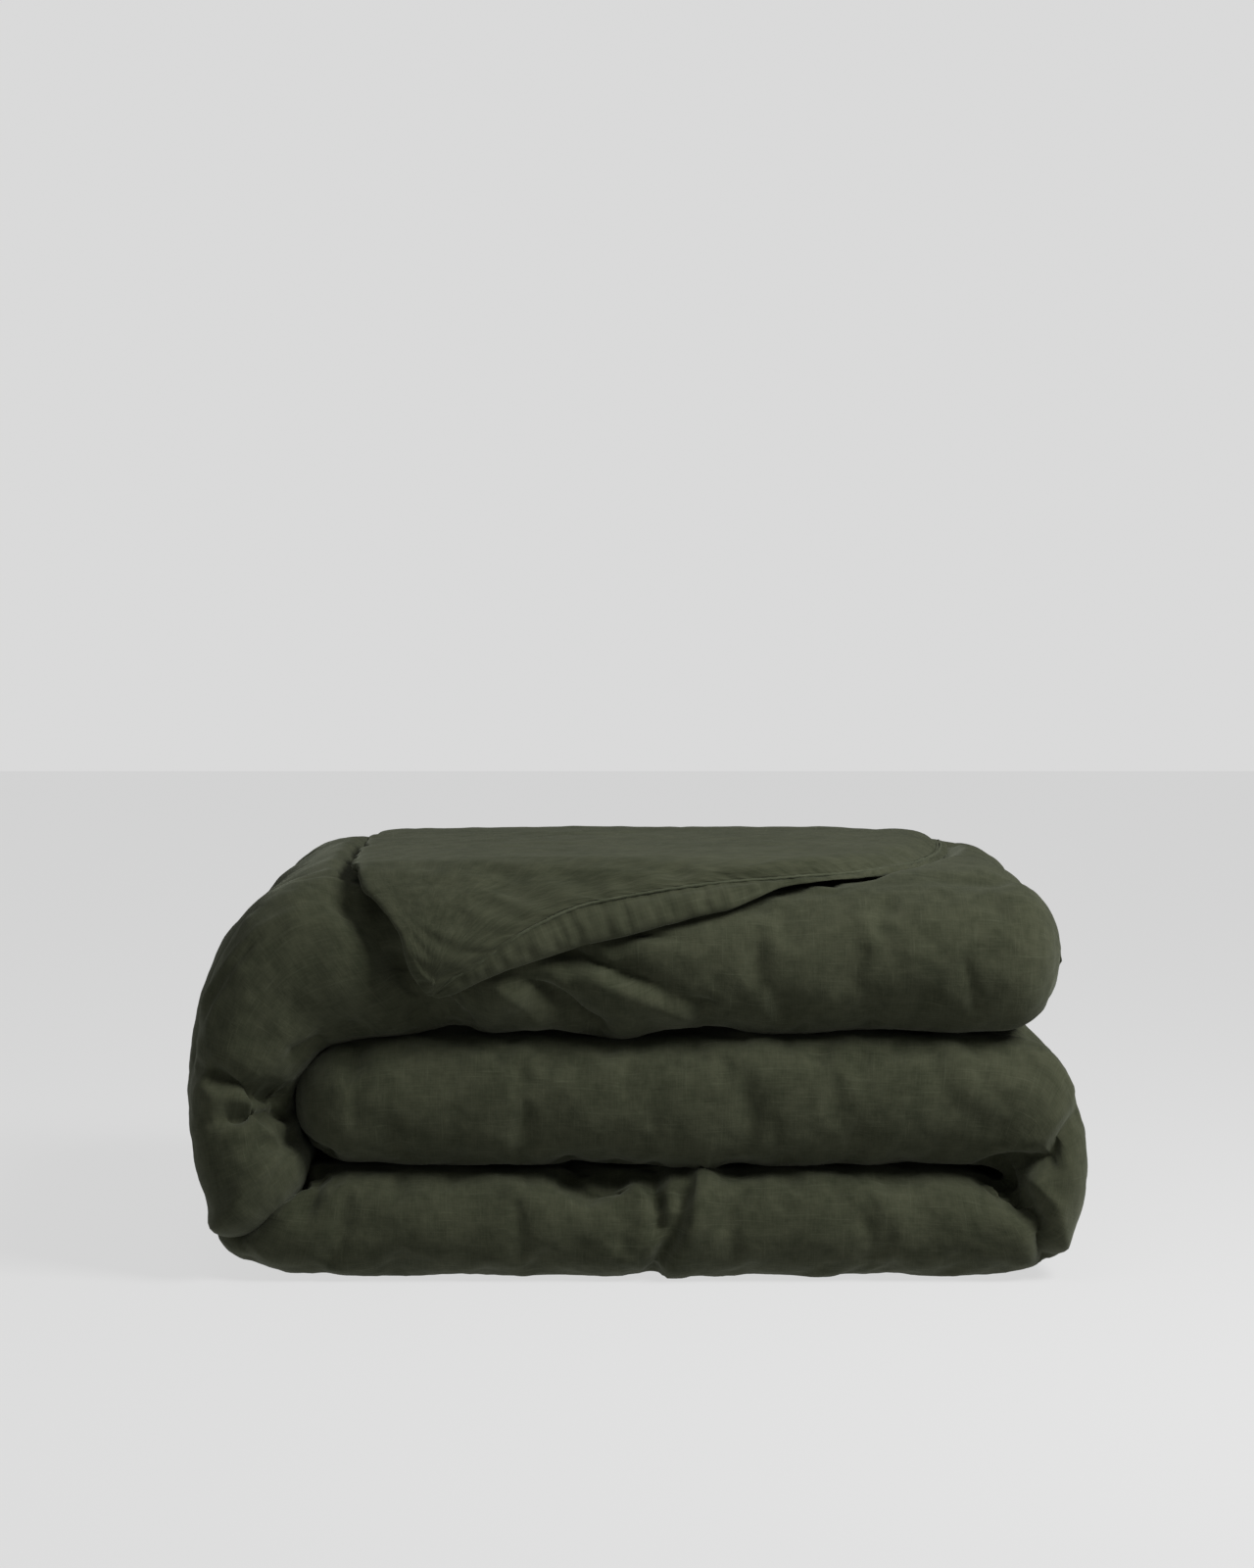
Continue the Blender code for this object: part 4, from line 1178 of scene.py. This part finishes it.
washedLinen = {
    "dark": (0.017, 0.0196, 0.0098),
    "light": (0.0375, 0.04, 0.0232),
    "slub": (0.075, 0.082, 0.052),
    "slubShow": 0.17,
    "thread": 0.0011,
    "clouds": 1.3,
    "rub": 1.5,
    "weave": 1.4,
    "bump": 0.5,
    "bumpHeight": 0.0004,
    "sheen": 0.1,
    "sheenTint": (0.75, 0.8, 0.62),
}
linen = clothFinish("washedLinen", washedLinen)
seamLinen = clothFinish("seamLinen", {
    **washedLinen, "dark": (0.026, 0.03, 0.016), "light": (0.05, 0.055, 0.034),
    "rub": 1.6, "thread": 0.0009,
})
stitchThread = clothFinish("stitchThread", {
    **washedLinen, "dark": (0.016, 0.019, 0.01), "light": (0.03, 0.034, 0.02),
    "thread": 0.0004, "slubShow": 0.0,
})
shellCotton = clothFinish("shellCotton", {
    **washedLinen, "dark": (0.62, 0.6, 0.56), "light": (0.78, 0.77, 0.73),
    "slub": (0.84, 0.83, 0.8), "slubShow": 0.1,
})
tieTape = clothFinish("tieTape", {
    **washedLinen, "dark": (0.045, 0.05, 0.03), "light": (0.07, 0.076, 0.05), "thread": 0.0007,
})
buttonShell = buttonFinish("buttonShell", (0.03, 0.028, 0.018), (0.085, 0.078, 0.052))
print("finishes done")

# ---
camera = {
    "distance": 3.2,
    "frontY": -0.205,
    "wide": 1.05984,  # how much of the front it takes in
    "tilt": 3.6,  # down, in degrees
    "middleX": -0.0091,
    "aimZ": 0.418,
}
lens = bpy.data.cameras.new("camera")
lens.sensor_fit = "HORIZONTAL"
lens.sensor_width = 36
lens.lens = camera["distance"] / camera["wide"] * lens.sensor_width
lens.clip_end = 50
view = bpy.data.objects.new("camera", lens)
rise = camera["distance"] * math.tan(math.radians(camera["tilt"]))
view.location = (camera["middleX"], camera["frontY"] - camera["distance"], camera["aimZ"] + rise)
view.rotation_euler = (math.radians(90 - camera["tilt"]), 0, 0)
scene.collection.objects.link(view)
scene.camera = view

bpy.ops.mesh.primitive_plane_add(size=14)
floor = bpy.context.object
floor.name = "floor"
paper, matt = newFinish("paleFloor")
matt["Base Color"].default_value = (0.08, 0.08, 0.08, 1)
matt["Emission Color"].default_value = (1, 1, 1, 1)
matt["Emission Strength"].default_value = 0.64
matt["Roughness"].default_value = 1.0
matt["Specular IOR Level"].default_value = 0.0
floor.data.materials.append(paper)


def softLight(name, place, aim, size, power):
    light = bpy.data.lights.new(name, "AREA")
    light.shape = "RECTANGLE"
    light.size, light.size_y = size
    light.energy = power
    lamp = bpy.data.objects.new(name, light)
    lamp.location = place
    lamp.rotation_euler = (Vector(aim) - Vector(place)).to_track_quat("-Z", "Y").to_euler()
    scene.collection.objects.link(lamp)


softLight("keyLight", (1.4, -1.05, 1.75), (0, -0.1, 0.2), (0.9, 0.9), 79)
softLight("fillLight", (-0.5, -1.0, 2.3), (0, -0.1, 0.2), (1.2, 1.2), 11)
studio = {"seen": 0.7, "shine": 0.09}  # its walls are seen lighter than they shine
scene.view_settings.view_transform = "Standard"
world = bpy.data.worlds.new("studio")
world.use_nodes = True
sky = world.node_tree.nodes["Background"]
sky.inputs["Color"].default_value = (1, 1, 1, 1)
seen = Wire(world.node_tree).node("ShaderNodeLightPath")
strength = seen * (studio["seen"] - studio["shine"]) + studio["shine"]
strength.into(sky.inputs["Strength"])
scene.world = world

# ---
# Which run of cover each piece belongs to, its finish, and the CAD nodes it stands for. Only the pieces of
# the lower run move with a body, the base.
bend = {
    "lower": None,
    "upper": ("base", "top_third", (-0.3, 0, 0.06), (-0.232, 0, 0.196)),
    "corner": ("top_third", "corner_flap", (0, -0.197, 0.34), (0, -0.226, 0.34)),
}
lowerParts = ("bottom_third", "middle_third", "right_fold")
upperParts = ("left_fold_lower", "left_fold_upper", "top_third")
pieces = [
    (lowerStack, "lower", linen, "cover_linen", ["cover_" + part for part in lowerParts]),
    (upperStack, "upper", linen, "cover_linen", ["cover_" + part for part in upperParts]),
    (cornerPiece, "corner", linen, "cover_linen", ["cover_loose_corner", "cover_corner_flap"]),
    (lowerFilling, "lower", shellCotton, "insert_shell", ["insert_" + part for part in lowerParts]),
    (upperFilling, "upper", shellCotton, "insert_shell", ["insert_" + part for part in upperParts]),
    (cornerFilling, "corner", shellCotton, "insert_shell", ["insert_loose_corner", "insert_corner_flap"]),
    (headLower, "lower", seamLinen, "seam_linen", ["head_seam_" + part for part in lowerParts]),
    (headUpper, "upper", seamLinen, "seam_linen", ["head_seam_" + part for part in upperParts]),
    (hemLower, "lower", seamLinen, "seam_linen", ["button_hem_" + part for part in lowerParts]),
    (hemUpper, "upper", seamLinen, "seam_linen", ["button_hem_" + part for part in upperParts]),
    (cornerSeam, "corner", seamLinen, "seam_linen", ["corner_flap_seam"]),
    (headLowerStitches, "lower", stitchThread, "seam_linen", []),
    (headUpperStitches, "upper", stitchThread, "seam_linen", []),
    (hemLowerStitches, "lower", stitchThread, "seam_linen", []),
    (hemUpperStitches, "upper", stitchThread, "seam_linen", []),
    (cornerStitches, "corner", stitchThread, "seam_linen", []),
]


def dress(piece, finish):
    piece.data.materials.clear()
    piece.data.materials.append(finish)


for piece, run, finish, slot, nodes in pieces:
    dress(piece, finish)
    piece.data.shade_smooth()
    if bend[run]:
        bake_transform(piece)
    else:
        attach(piece, "base")
    if nodes:
        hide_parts(*nodes)
    slot in ("cover_linen", "insert_shell")
for made, thread, run, name in buttons:
    body = "base" if run == "lower" else "top_third"
    for piece, finish, slot in ((made, buttonShell, "button_shell"), (thread, stitchThread, "seam_linen")):
        dress(piece, finish)
        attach(piece, body)
    thread.data.shade_smooth()
    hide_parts("button_" + name)
for piece, node, body in tieObjects:
    dress(piece, tieTape)
    piece.data.shade_smooth()
    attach(piece, body)
    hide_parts(node)
